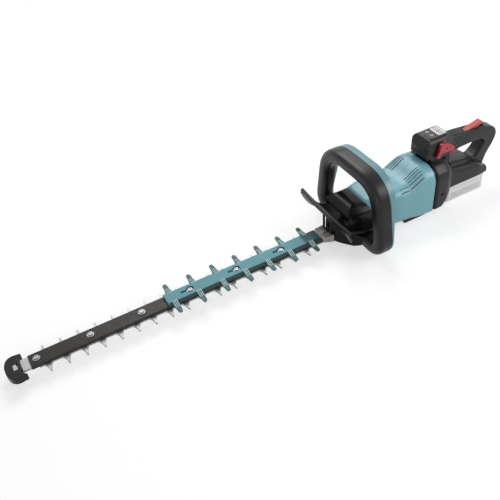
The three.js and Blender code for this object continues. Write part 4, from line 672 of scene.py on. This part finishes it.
LOUVRE_FIRST = 21.3
LOUVRE_PITCH = 6.6


def louvres(side, start=-1.0, end=1.0):
    """Bars that lie along the air slots of one shoulder, between two distances from each slot's middle line."""
    bars = []
    for x0, x1, rows in ((117, 151, range(5)), (92, 112, range(3, 5))):
        for row in rows:
            middle = LOUVRE_FIRST + row * LOUVRE_PITCH
            low, high = sorted((side * (middle + start), side * (middle + end)))
            bars.append(block(x0, x1, low, high, SWIVEL_Z + 20, 150, edge=0.9, segments=3))
    return bars


housing = housing_form()
for side, name in SIDES:
    shell = cut(side_half(housing, side), housing_form(WALL), case_form(0.3, 3), *louvres(side),
                post((0, SWIVEL_Z), SPINDLE_HOLE, SWIVEL_X - 8, SWIVEL_X + 5, 40, "x"))
    shown("motor_housing_" + name + "_shell", shell, "motor_housing_" + name, ["motor_housing_" + name], angle=32)
    # a thin skin of the wall beside each slot in lighter teal: a painted highlight on the slot edges
    lit_strips = cut(kept(gathered(louvres(side, 1.4, 3.4)), housing_form(-0.4)), housing_form(0.4))
    shown("louvre_highlight_strips_" + name, lit_strips, "motor_housing_" + name, angle=32, finish=FIN_HIGHLIGHT_TEAL)
housing.free()

# ---- swivel ring

ring_low, ring_high = span("swivel_ring")
rubber = loft([boxy(*swivel_face(x, shrink)) for x, shrink in
               ((ring_low[0], 3.8), (ring_low[0] + 0.8, 3), (ring_high[0] - 0.8, 3), (ring_high[0], 3.8))])
rubber = cut(rubber, post((0, SWIVEL_Z), SPINDLE_HOLE, ring_low[0] - 1, ring_high[0] + 1, 40, "x"))
shown("swivel_gasket", rubber, "swivel_ring", ["swivel_ring"], finish=GEAR_BLACK)

# ---- gear case

MOTOR_X = 50.5
case = case_form()
arm = plate(both_sides([(-26, 38, 0), (-12, 61.7, 4), (20, 61.7, 4), (32, 44, 0)]), 9.5, 32.5, edge=1.2)
flange = plate(both_sides([(-50, 26, 4), (-37, 45, 6), (-8, 61.7, 4), (20, 61.7, 4), (24, 48, 0)]), 42, 48, edge=0.9)
case = joined(case, arm, flange)
chamber = [
    block(-38, 38, -30.8, 30.8, -1, 34),
    post((0, 0), 45.5, 32.5, 43, 48),
    post((MOTOR_X, 0), 11.5, 32.5, 43, 24),
    block(-62, -36, -16.8, 16.8, 16.5, 31.3),
    post((MOTOR_X, 0), 29.3, 51, 124, 48),
    block(-62, -30, -8.8, 8.8, 72, 76),
    block(-22.1, 36.1, -34.3, 34.3, -1, 4.3),
]
vents = []
for side in (-1, 1):
    vent = block(-7, 7, -2.2, 2.2, -2.6, 2.6, edge=2, segments=4)
    bmesh.ops.rotate(vent, matrix=Matrix.Rotation(-side * math.radians(41), 3, "X"), verts=vent.verts)
    bmesh.ops.translate(vent, vec=(2, side * 35.5, 94), verts=vent.verts)
    vents.append(vent)
case = cut(case, *chamber, *vents)
shown("gear_case_body", case, "gear_case", ["gear_case"], angle=30, finish=GEAR_BLACK)

# ---- cutting assembly

BOLTS = ["blade_bolt_%d" % (i + 1) for i in range(7)]
bolt_x = [(low[0] + high[0]) / 2 for low, high in map(span, BOLTS)]
cover_low, cover_high = span("blade_cover")
COVER_TOP = cover_high[2]
SPACING = bolt_x[1] - bolt_x[0]
TOOTH_PITCH = SPACING / 3
TOOTH_COUNT = 17
LAST_TOOTH = bolt_x[-1] - 53.5
STRIP_HALF = 14


def stadium(x, half_x, half_y, low, high):
    """Long hole with round ends, on the centre line."""
    r = min(half_x, half_y)
    return plate(both_sides([(x - half_x, -half_y, r), (x + half_x, -half_y, r)]), low, high)


def shear_blade(node):
    """Toothed strip with ground flanks, a yoke round the cam and a slot at each bolt."""
    low, high = span(node)
    edge = [(LAST_TOOTH - (TOOTH_COUNT - 1) * TOOTH_PITCH - 17, STRIP_HALF)]
    for i in reversed(range(TOOTH_COUNT)):
        x = LAST_TOOTH - i * TOOTH_PITCH
        edge += [(x - 8.5, STRIP_HALF, 2.5), (x - 3.6, 21.4, 4), (x - 1.2, 34.5, 0.6),
                 (x + 1.2, 34.5, 0.6), (x + 3.6, 21.4, 4), (x + 8.5, STRIP_HALF, 2.5)]
    edge.append((0, STRIP_HALF))
    strip = plate(both_sides(edge), low[2], high[2], steps=3)
    ground = [e for e in rim_edges(strip, high[2] if node == "upper_blade" else low[2])
              if all(abs(v.co.y) > STRIP_HALF + 0.01 for v in e.verts)]
    round_edges(strip, ground, 0.8, 1)
    yoke = plate(both_sides([(-21.1, -28.05, 14), (21.1, -28.05, 14)]), low[2], high[2])
    slots = [stadium(0, 15.1, 22.05, low[2] - 1, high[2] + 1)]
    slots += [stadium(x, 12.15, 3.4, low[2] - 1, high[2] + 1) for x in bolt_x]
    blade = cut(joined(strip, yoke), *slots)
    shown(node + "_ground", blade, node, [node], angle=25)


for blade_node in ("upper_blade", "lower_blade"):
    shear_blade(blade_node)

# guide bar with its T end
bar_low, bar_high = span("guide_bar")
bar_front = bar_low[0]
bar_edge = [(bar_front, 9, 1), (bar_front + 6, 9, 1), (bar_front + 6, 5), (bar_front + 18, 5),
            (bar_front + 18, 14.5, 1), (bar_high[0], 14.5)]
bar = plate(both_sides(bar_edge), bar_low[2], bar_high[2], edge=0.5)
bar = cut(bar, *[post((x, 0), BOLT_HOLE, 0, 60, 24) for x in bolt_x],
          post((bar_front + 12, 0), PIN_HOLE, 0, 60, 24))
shown("guide_bar_ground", bar, "guide_bar", ["guide_bar"])
key = block(bar_front + 3, bar_front + 9.5, -7.4, 7.4, bar_high[2] - 0.4, bar_high[2] + 2.4, edge=0.5)
shown("guide_bar_key", key, "guide_bar")

# pressed cover channel
low_z, wall, wide = cover_low[2], 1.7, cover_high[1]
channel = [(-wide, low_z), (wall - wide, low_z), (wall - wide, COVER_TOP - wall, 1), (wide - wall, COVER_TOP - wall, 1),
           (wide - wall, low_z), (wide, low_z), (wide, COVER_TOP, 2.2), (-wide, COVER_TOP, 2.2)]
cover = plate(channel, cover_low[0], cover_high[0], "x")
cover = cut(cover, *[post((x, 0), BOLT_HOLE, 0, 60, 24) for x in bolt_x])
rivets = [post(((a + b) / 2, 0), 1.9, COVER_TOP - 0.6, COVER_TOP + 0.25, 16, edge=0.2)
          for a, b in zip(bolt_x[:3], bolt_x[1:4])]
shown("cover_rivets", gathered(rivets), "blade_cover", finish=GEAR_BLACK)
shown("blade_cover_pressed", cover, "blade_cover", ["blade_cover"], angle=40)

# comb of blunt fingers: three ribs at each root, a recess round every bolt
comb_low, comb_high = span("chip_guard")
CREST = comb_high[2] + 2.6
PRONG_COUNT = 7
PRONGS = [bolt_x[-1] - 39 - i * SPACING / 2 for i in range(PRONG_COUNT)]


def comb():
    """Arched spine over thinner fingers, open round each bolt."""
    low, high = comb_low[2], comb_high[2]
    spine = plate([(-17, low), (17, low), (17, low + 1.2, 0.4), (14.2, CREST, 1.6), (-14.2, CREST, 1.6),
                   (-17, low + 1.2, 0.4)], comb_low[0], comb_high[0], "x")
    edge = []
    for x in reversed(PRONGS):
        edge += [(x - 8.5, 12), (x - 6.2, 22, 6), (x - 4.1, 44, 4), (x + 4.1, 44, 4), (x + 6.2, 22, 6), (x + 8.5, 12)]
    fingers = plate(both_sides(edge), low, high - 0.9, edge=0.8, steps=4)
    body = joined(spine, fingers)
    holes = []
    for x in bolt_x:
        if comb_low[0] < x < comb_high[0]:
            holes += [post((x, 0), 8.4, low + 1.4, 60, 32), post((x, 0), BOLT_HOLE, 0, 60, 20),
                      stadium(x - 14, 6.5, 3, 0, 60)]
    return cut(body, *holes)


shown("comb_fingers", comb(), "chip_guard", ["chip_guard"], angle=35)
# ribs in lighter teal: their lighter colour is a painted highlight on the rib tops
ribs = [plate([(side * 11, CREST + 0.15), (side * 14.6, CREST + 0.15), (side * 30, comb_high[2] - 0.5),
               (side * 30, comb_low[2] + 1), (side * 11, comb_low[2] + 1)], x + step - 0.9, x + step + 0.9, "x")
        for x in PRONGS for side in (-1, 1) for step in (-3.7, 0, 3.7)]
shown("comb_ribs", gathered(ribs), "chip_guard", finish=RIB_HIGHLIGHT_TEAL)


def hex_bolt(node):
    """Washer and domed hexagon head with a socket above; washer and nut below."""
    low, high = span(node)
    x = (low[0] + high[0]) / 2
    seat = high[2] - 4.2
    shank = post((x, 0), 3, low[2], high[2] - 1, 20)
    washer = post((x, 0), 7, seat, seat + 1.2, 36, edge=0.3)
    head = post((x, 0), 4.9, seat + 1.1, high[2], 6, edge=0.7)
    head = cut(head, post((x, 0), 2.7, high[2] - 2.4, high[2] + 1, 6))
    washer = cut(washer, cut(post((x, 0), 6.1, seat + 0.4, seat + 3, 32), post((x, 0), 4.6, seat, seat + 4, 32)))
    nut_washer = post((x, 0), 7, low[2] + 3.3, low[2] + 4.5, 32, edge=0.25)
    nut = post((x, 0), 6, low[2], low[2] + 3.4, 6, edge=0.5)
    bolt = joined(shank, washer, head, nut_washer, nut)
    shown(node + "_hex", bolt, node, [node])


for bolt_node in BOLTS:
    hex_bolt(bolt_node)

# tip guard: kidney-shaped nose with a window over the bar's T end
tip_low, tip_high = span("tip_guard")
tip_rear = bar_front + 17.7
tip = plate(both_sides([(tip_low[0], 15, 22), (tip_low[0] + 11.34, 31, 9), (tip_rear + 8, 28, 5),
                        (tip_rear - 5, 17, 6), (tip_rear, 11, 3)]), tip_low[2], tip_high[2], edge=2.2, segments=4)
tip = cut(tip,
          block(bar_front - 0.3, bar_front + 6.3, -9.3, 9.3, bar_low[2] - 0.3, bar_high[2] + 0.3),
          block(bar_front - 0.3, tip_rear + 2, -5.3, 5.3, bar_low[2] - 0.3, bar_high[2] + 0.3),
          block(bar_front + 2.5, bar_front + 12, -8, 8, bar_high[2], tip_high[2] + 3, edge=1.2),
          post((bar_front + 12, 0), PIN_HOLE, 0, bar_high[2] + 1, 24),
          post((bar_front + 12, 0), 4.3, 0, tip_low[2] + 2.9, 28))
shown("tip_guard_nose", tip, "tip_guard", ["tip_guard"], angle=40, finish=FINISHES["soft_grip"])

# folded root plate between blade and gear case
root_low, root_high = span("root_plate")
front, rear = root_low[0], root_high[0]
root = plate(both_sides([(front, 15.5, 3), (front + 4, 19.5, 3), (rear, 20.5)]), 13, root_high[2], edge=1.0)
root = kept(root, plate([(front - 1, 31.3), (front + 4, 22.5), (rear + 1, 14.5), (rear + 1, 36), (front - 1, 36)],
                        -40, 40, "y"))
root = cut(root, block(front - 1, rear + 1, -17.1, 17.1, 0, root_high[2] - 3, edge=1.2),
           post((bolt_x[-1], 0), BOLT_HOLE, 20, 60, 24))
shown("root_plate_cast", root, "root_plate", ["root_plate"], angle=35)
boss = post((-61, 0), 8, root_high[2] + 0.2, root_high[2] + 11, 36, top_radius=5, edge=1.6)
shown("root_boss", cut(boss, case_form(0.1, 3)), "gear_case", finish=GEAR_BLACK)

# ---- hand guard

GUARD_HALF = 91
GUARD_RUN = 69  # from a wing's tip to its full depth
GUARD_STEPS = 24


def guard_section(y):
    """Lip above, leaf-shaped wing below, at a distance from the centre line."""
    share = min(1, (GUARD_HALF - abs(y)) / GUARD_RUN)
    drop = 8 + 28 * math.sin(math.pi * share ** 0.56)
    back = 26 * math.sin(math.pi / 2 * share ** 0.6)
    swept = 3 * (1 - share) ** 2
    places = ((0, 0.9), (0.9, 0), (6.1, 0), (7, 0.9), (7, 3.6), (back + 3.6, drop - 0.6), (back + 3.4, drop + 1.2),
              (back + 1.6, drop + 3.2), (back, drop + 3.4), (back - 0.6, drop + 2.6), (0, 8), (0, 7))
    return [(-75 + swept + x, y, 92 - z) for x, z in places]


wing = [guard_section(-GUARD_HALF + GUARD_RUN * step / GUARD_STEPS) for step in range(GUARD_STEPS + 1)]
guard = loft(wing + [[(x, -y, z) for x, y, z in ring] for ring in reversed(wing)])
stays = [block(-66, -61, *sorted((side * 12, side * 14.4)), 34.6, 85, edge=0.6) for side in (-1, 1)]
guard = joined(guard, block(-60, -34, -20, 20, 67, 84.5, edge=1.5), *stays)
guard = cut(guard, case_form(0.3, 3), *[post((side * 6.5, 74), PIN_HOLE, -90, -30, 24, "x") for side in (-1, 1)])
shown("hand_guard_leaf", guard, "hand_guard", ["hand_guard"], angle=42, finish=GEAR_BLACK)

# ---- rear housing and D handle

battery_front = span("battery_case")[0][0]
HEAD_FRONT = 168
SADDLE_Z = 40.3
HANDLE_HALF = 16
DRUM_X = SWIVEL_X + 7
DRUM = [swivel_face(DRUM_X, 2), swivel_face(DRUM_X + 4), swivel_face(battery_front - 28, 0.5),
        (battery_front - 16, 55.5, 122.5, 16, 35, 20), (battery_front - 6, 51, 118, 22, 32, 26),
        (battery_front - 0.3, 44, 110, 26, 24, 16)]
SADDLE = [(battery_front + x, half_w, top, SADDLE_Z, rounding, 1) for x, half_w, top, rounding in
          ((-18, 42, 104, 18), (14, 38, 88, 14), (86, 38, 76, 12), (116, 36, 56, 8))]


def behind(corners):
    """Corners (x, z, radius) measured from the front of the battery."""
    return [(battery_front + x, z, *rest) for x, z, *rest in corners]


def drum_ring(row, shrink=0.0):
    """Drum section whose upper shoulders are flattened into a facet."""
    points = boxy(*drawn_in(row, shrink), steps=12)
    for first in (0, 13):
        start, end = Vector(points[first + 4]), Vector(points[first + 8])
        for step in range(5):
            points[first + 4 + step] = tuple(start.lerp(end, step / 4))
    return points


def d_handle():
    """Closed grip behind the head, with rounded rims."""
    outer = behind([(0, 60), (0, 157), (30, 158, 20), (66, 153.5, 30), (124, 147, 18), (152, 132, 20), (150, 104, 24),
                    (130, 72, 20), (124, 48), (68, 48)])
    opening = behind([(18, 92, 8), (18, 120, 6), (98, 122, 14), (118, 114, 12), (108, 92, 10), (90, 76, 8),
                      (54, 84, 10)])
    handle = cut(plate(outer, -HANDLE_HALF, HANDLE_HALF, "y", edge=6, segments=5, steps=8),
                 plate(opening, -40, 40, "y", steps=8))
    rims = [e for e in handle.edges if e.is_manifold
            and all(abs(abs(v.co.y) - HANDLE_HALF) < 0.01 for v in e.verts) and e.calc_face_angle() > 1]
    round_edges(handle, rims, 4.5, 4)
    return handle


def head_block(shrink, chin, neck_z):
    """Control head under the display, brought in by a distance."""
    front, rear, top = HEAD_FRONT + shrink, battery_front + 20, 178 - shrink
    side = [(front + 3, chin, 2), (front, 158, 4), (front + 13, top, 6), (rear - 22, top, 8),
            (rear - shrink, 157 - shrink, 4), (rear - shrink, neck_z), (front + 22, neck_z), (front + 12, chin)]
    wide, neck = 28 - shrink, 21 - shrink
    plan = both_sides([(front, -wide + 5, 4), (front + 6, -wide, 4), (HEAD_FRONT + 42, -wide, 5),
                       (HEAD_FRONT + 54, -neck, 5), (rear - shrink, -16 + shrink)])
    crown = [(-wide, 100), (wide, 100), (wide, top, 14), (-wide, top, 14)]
    return kept(plate(side, -60, 60, "y"), plate(plan, 90, 200), plate(crown, HEAD_FRONT - 10, rear + 10, "x", steps=8))


LATCH = behind([(-42, 136, 2), (-35, 133, 2), (-26, 144, 4), (-10, 143, 4), (5, 141, 4), (6, 151, 4), (-14, 164, 5),
                (-32, 168, 4), (-35, 158, 4), (-37, 147, 3)])
latch_pivot, trigger_pivot, lever_pivot = behind([(-16, 153), (55, 128), (46, 142)])


def pin_hole(pivot, low, high, sides=20):
    """Hole across the tool for a pivot pin."""
    return post(pivot, PIN_HOLE, low, high, sides, "y")


def latch_room(angle):
    """What the swivel latch sweeps at an angle of its pull."""
    room = plate(LATCH, -57, -28.3, "y", steps=3)
    bmesh.ops.rotate(room, cent=(latch_pivot[0], 0, latch_pivot[1]), matrix=Matrix.Rotation(angle, 3, "Y"),
                     verts=room.verts)
    return room


def rear_housing():
    """Drum, saddle, grip and head in one, hollowed for what they hold."""
    body = joined(loft([drum_ring(row) for row in eased(DRUM, 3)]), loft([boxy(*row) for row in eased(SADDLE, 3)]),
                  d_handle(), head_block(0, 134, 120))
    hollow = [list(row) for row in DRUM[1:]]
    hollow[0][0] = DRUM_X + 7
    hollow[-1][0] -= WALL
    hollow[-1][3] = 49.3
    rail = [(-18.3, 39), (18.3, 39), (18.3, 44.2), (23.3, 44.2), (23.3, 48.3), (-23.3, 48.3), (-23.3, 44.2),
            (-18.3, 44.2)]
    front = battery_front
    return cut(
        body, loft([drum_ring(row, WALL) for row in hollow]), head_block(WALL, 151, 133),
        # contacts, rails, battery and spindle
        block(front + 8, front + 86, -30, 30, 51.6, 68), plate(rail, front - 0.3, front + 150, "x"),
        block(front - 0.3, front + 121, -46, 46, -5, SADDLE_Z),
        post((0, SWIVEL_Z), SPINDLE_HOLE, DRUM_X - 1, DRUM_X + 9, 40, "x"),
        # drum screws, display window and its ledge
        *[post((200.9, 50.5), 3.4, *sorted((side * 50, side * 60)), 28, "y") for side in (-1, 1)],
        block(188.5, 226.5, -14, 14, 170, 179), block(184.5, 230.5, -18, 18, 176.2, 179),
        # switch unit, control board, terminal block
        block(front - 8.3, front + 17, -9.3, 9.3, 119.7, 140.3), block(177.7, front + 4.3, -18.3, 18.3, 156, 169.6),
        block(front + 9.7, front + 36.3, -14.3, 14.3, 42.3, 52.6),
        # trigger, lock-off lever, pivot pins, swivel latch
        block(front + 15, trigger_pivot[0] + 9, -8.3, 8.3, 112, 137, edge=1.0),
        block(lever_pivot[0] - 8, front + 64, -7.3, 7.3, 138, 148),
        block(front + 60, front + 116, -7.3, 7.3, 138, 170, edge=1.0),
        pin_hole(trigger_pivot, -12.3, 12.3), pin_hole(lever_pivot, -12.3, 12.3), pin_hole(latch_pivot, -42, -12.3),
        latch_room(0), latch_room(0.11), latch_room(0.22),
    )


rear_body = rear_housing()
for side, name in SIDES:
    shown("rear_housing_" + name + "_shell", side_half(rear_body, side), "rear_housing_" + name,
          ["rear_housing_" + name], angle=32)
rear_body.free()

# ---- controls

trigger = plate(behind([(20, 127, 2), (54, 133, 3), (61, 130, 3), (56, 119, 4), (40, 108, 8), (26, 104, 3),
                        (19, 109, 3)]), -8, 8, "y", edge=2.4, segments=4)
shown("trigger_blade", cut(trigger, pin_hole(trigger_pivot, -20, 20, 24)), "trigger", ["trigger"], angle=45)

lever = plate(behind([(41, 139.5, 3), (41, 146.5, 3), (107, 162.5, 2), (112, 157.5, 2), (105, 153.5, 2),
                      (66, 141.5, 6)]), -7, 7, "y", edge=1.5)
shown("lock_off_paddle", cut(lever, pin_hole(lever_pivot, -20, 20, 24)), "lock_off_lever", ["lock_off_lever"],
      angle=45)

latch = plate(LATCH, -37, -28.6, "y", edge=1.8)
shown("swivel_latch", cut(latch, pin_hole(latch_pivot, -42, -20, 24)), "swivel_lock_lever",
      ["swivel_lock_lever"], angle=45)

panel_low, panel_high = span("display_panel")
panel_mid = (panel_low[0] + panel_high[0]) / 2
panel = plate(both_sides([(panel_low[0], panel_low[1], 3), (panel_high[0], panel_low[1], 3)]),
              panel_low[2], panel_high[2], edge=0.3)
spots = [[(a + b) / 2 for a, b in zip(*span(node))] for node in ("power_button", "speed_button")]
panel = cut(panel, *[post((spot[0], spot[1]), 4.8, 170, 182, 32) for spot in spots])
shown("display_glass", panel, "display_panel", ["display_panel"])

label = both_sides([(panel_mid + 0.5, -15.5, 3), (panel_high[0] - 1.7, -15.5, 3)])
top = panel_high[2]
shown("display_label", plate(label, top - 0.2, top + 0.1), "display_panel", finish=PRINT_WHITE)
dots = [cut(post((panel_mid + 11, y), 5.2, top, top + 0.15, 40), post((panel_mid + 11, y), 4.2, 0, 200, 32))
        for y in (-8.5, 8.5)]
gauge = [block(panel_mid + 5 + 3 * i, panel_mid + 7 + 3 * i, -1.8, 1.8, top, top + 0.15) for i in range(4)]
bars = [block(panel_mid + 8.4, panel_mid + 13.6, y - 0.5, y + 0.5, top, top + 0.15) for y in (-8.5, 8.5)]
shown("display_symbols", gathered(dots + gauge + bars), "display_panel", finish=GEAR_BLACK)


def push_button(node):
    """Stemmed cap with a ring and bar printed on it."""
    low, high = span(node)
    x, y = (low[0] + high[0]) / 2, (low[1] + high[1]) / 2
    cap = post((x, y), 4.5, high[2] - 3.2, high[2], 40, edge=0.6)
    flange = post((x, y), 6, high[2] - 4.2, high[2] - 2.7, 32)
    stem = post((x, y), 1.5, low[2], high[2] - 3.5, 16)
    shown(node + "_cap", joined(cap, flange, stem), node, [node], finish=GEAR_BLACK)
    mark = cut(post((x, y), 3.7, high[2] - 0.2, high[2] + 0.05, 40), post((x, y), 2.4, 0, 200, 32),
               block(x - 4, x, y - 1.2, y + 1.2, 0, 200))
    shown(node + "_mark", gathered([mark, block(x - 3.8, x - 0.4, y - 0.6, y + 0.6, high[2] - 0.2, high[2] + 0.05)]),
          node, finish=PRINT_WHITE)


for button in ("power_button", "speed_button"):
    push_button(button)

# ---- battery

pack_low, pack_high = span("battery_case")
PACK = both_sides([(pack_low[0], -38, 8), (pack_high[0], -38, 10)])
ribs = [block(x, x + 2, *sorted((side * 36.8, side * 40)), 6, 22, edge=0.5)
        for x in [pack_low[0] + 16 + 5 * i for i in range(17)] for side in (-1, 1)]
ribs += [block(pack_high[0] - 1.2, pack_high[0] + 2, y - 1, y + 1, 6, 22, edge=0.5) for y in range(-24, 25, 6)]
tub = cut(plate(PACK, 0, 27, edge=2.4), gathered(ribs))
shown("battery_tub", tub, "battery_case", ["battery_case"])
lid = plate(PACK, 27.3, 40, edge=1.2)
rail_profile = [(-18, 39), (18, 39), (18, 44.5), (23, 44.5, 0.6), (23, 48, 0.6), (-23, 48, 0.6), (-23, 44.5, 0.6),
                (-18, 44.5)]
lid = joined(lid, plate(rail_profile, pack_low[0] + 2, pack_high[0] - 4, "x"))
lid = cut(lid, *[block(pack_low[0] - 1, pack_low[0] + 36, side * 8 - 1.4, side * 8 + 1.4, 41.8, 50.3)
                 for side in (-1, 1)], block(pack_high[0] - 10.4, pack_high[0] + 1, -12.3, 12.3, 29.7, 37.3))
shown("battery_lid_rails", lid, "battery_lid", ["battery_lid"])
release = block(pack_high[0] - 7, pack_high[0], -12, 12, 30, 37, edge=0.8)
shown("battery_release_key", release, "battery_release", ["battery_release"])

# ---- the rest keeps its CAD shape

for node in frame["nodes"]:
    if node not in dressed:
        refined(node, finish=GEAR_BLACK if node == "swivel_lock_pin" else None)

# ---- studio

FLOOR_HALF = 6.0


def seen_straight(tree):
    """1 for what the eye sees, straight or by way of gloss or glass, 0 for light on its way."""
    rays = tree.nodes.new("ShaderNodeLightPath")
    total = rays.outputs["Is Camera Ray"]
    for kind in ("Is Glossy Ray", "Is Transmission Ray"):
        either = tree.nodes.new("ShaderNodeMath")
        either.operation = "MAXIMUM"
        tree.links.new(total, either.inputs[0])
        tree.links.new(rays.outputs[kind], either.inputs[1])
        total = either.outputs["Value"]
    return total


def studio_floor():
    """Pale floor that takes the shadow and fades to white further out."""
    bm = bmesh.new()
    bmesh.ops.create_grid(bm, x_segments=2, y_segments=2, size=FLOOR_HALF)
    mesh = meshed("floor", bm)
    floor = added("floor", mesh)
    floor.location.z = cad_box[0][2] - 0.5 * MM
    finish = Finish("studio_floor", (0.55, 0.55, 0.55), 0.9)
    glow = finish.add("ShaderNodeEmission")
    reach = finish.add("ShaderNodeVectorMath", operation="LENGTH")
    finish.link(finish.place, reach.inputs[0])
    far = finish.add("ShaderNodeMapRange", From_Min=0.9, From_Max=2.6, To_Min=0.58, To_Max=0.83)
    finish.link(reach.outputs["Value"], far.inputs["Value"])
    lift = finish.add("ShaderNodeMath", operation="MULTIPLY")
    finish.link(far.outputs["Result"], lift.inputs[1])
    finish.link(seen_straight(finish.tree), lift.inputs[0])
    both = finish.add("ShaderNodeAddShader")
    finish.link(lift.outputs["Value"], glow.inputs["Strength"])
    finish.link(finish.shader.outputs["BSDF"], both.inputs[0])
    finish.link(glow.outputs["Emission"], both.inputs[1])
    output = finish.tree.nodes["Material Output"]
    finish.link(both.outputs["Shader"], output.inputs["Surface"])
    mesh.materials.append(finish.material)


LAMP_AIM = Vector((-0.15, 0, 0.05))


def softbox(name, place, size, power):
    """Rectangular area lamp turned towards the tool."""
    lamp = bpy.data.lights.new(name, "AREA")
    lamp.shape = "RECTANGLE"
    lamp.size, lamp.size_y = size
    lamp.energy = power
    lamp_object = added(name, lamp)
    lamp_object.location = place
    lamp_object.rotation_euler = (LAMP_AIM - Vector(place)).to_track_quat("-Z", "Y").to_euler()


def studio_world():
    """White to the eye, dimmer as a light."""
    world = bpy.data.worlds.new("studio")
    world.use_nodes = True
    bpy.context.scene.world = world
    tree = world.node_tree
    background = tree.nodes["Background"]
    background.inputs["Color"].default_value = (1, 1, 1, 1)
    strength = tree.nodes.new("ShaderNodeMapRange")
    strength.inputs["To Min"].default_value = 0.3
    strength.inputs["To Max"].default_value = 1.0
    tree.links.new(seen_straight(tree), strength.inputs["Value"])
    tree.links.new(strength.outputs["Result"], background.inputs["Strength"])


studio_floor()
studio_world()
softbox("high", (0.15, 1.0, 1.25), (1.2, 0.8), 14)
softbox("side", (1.0, -1.05, 1.0), (0.8, 0.8), 12)
softbox("low", (-1.2, -1.3, 0.5), (1.0, 0.6), 4)
bpy.context.scene.view_settings.view_transform = "Standard"
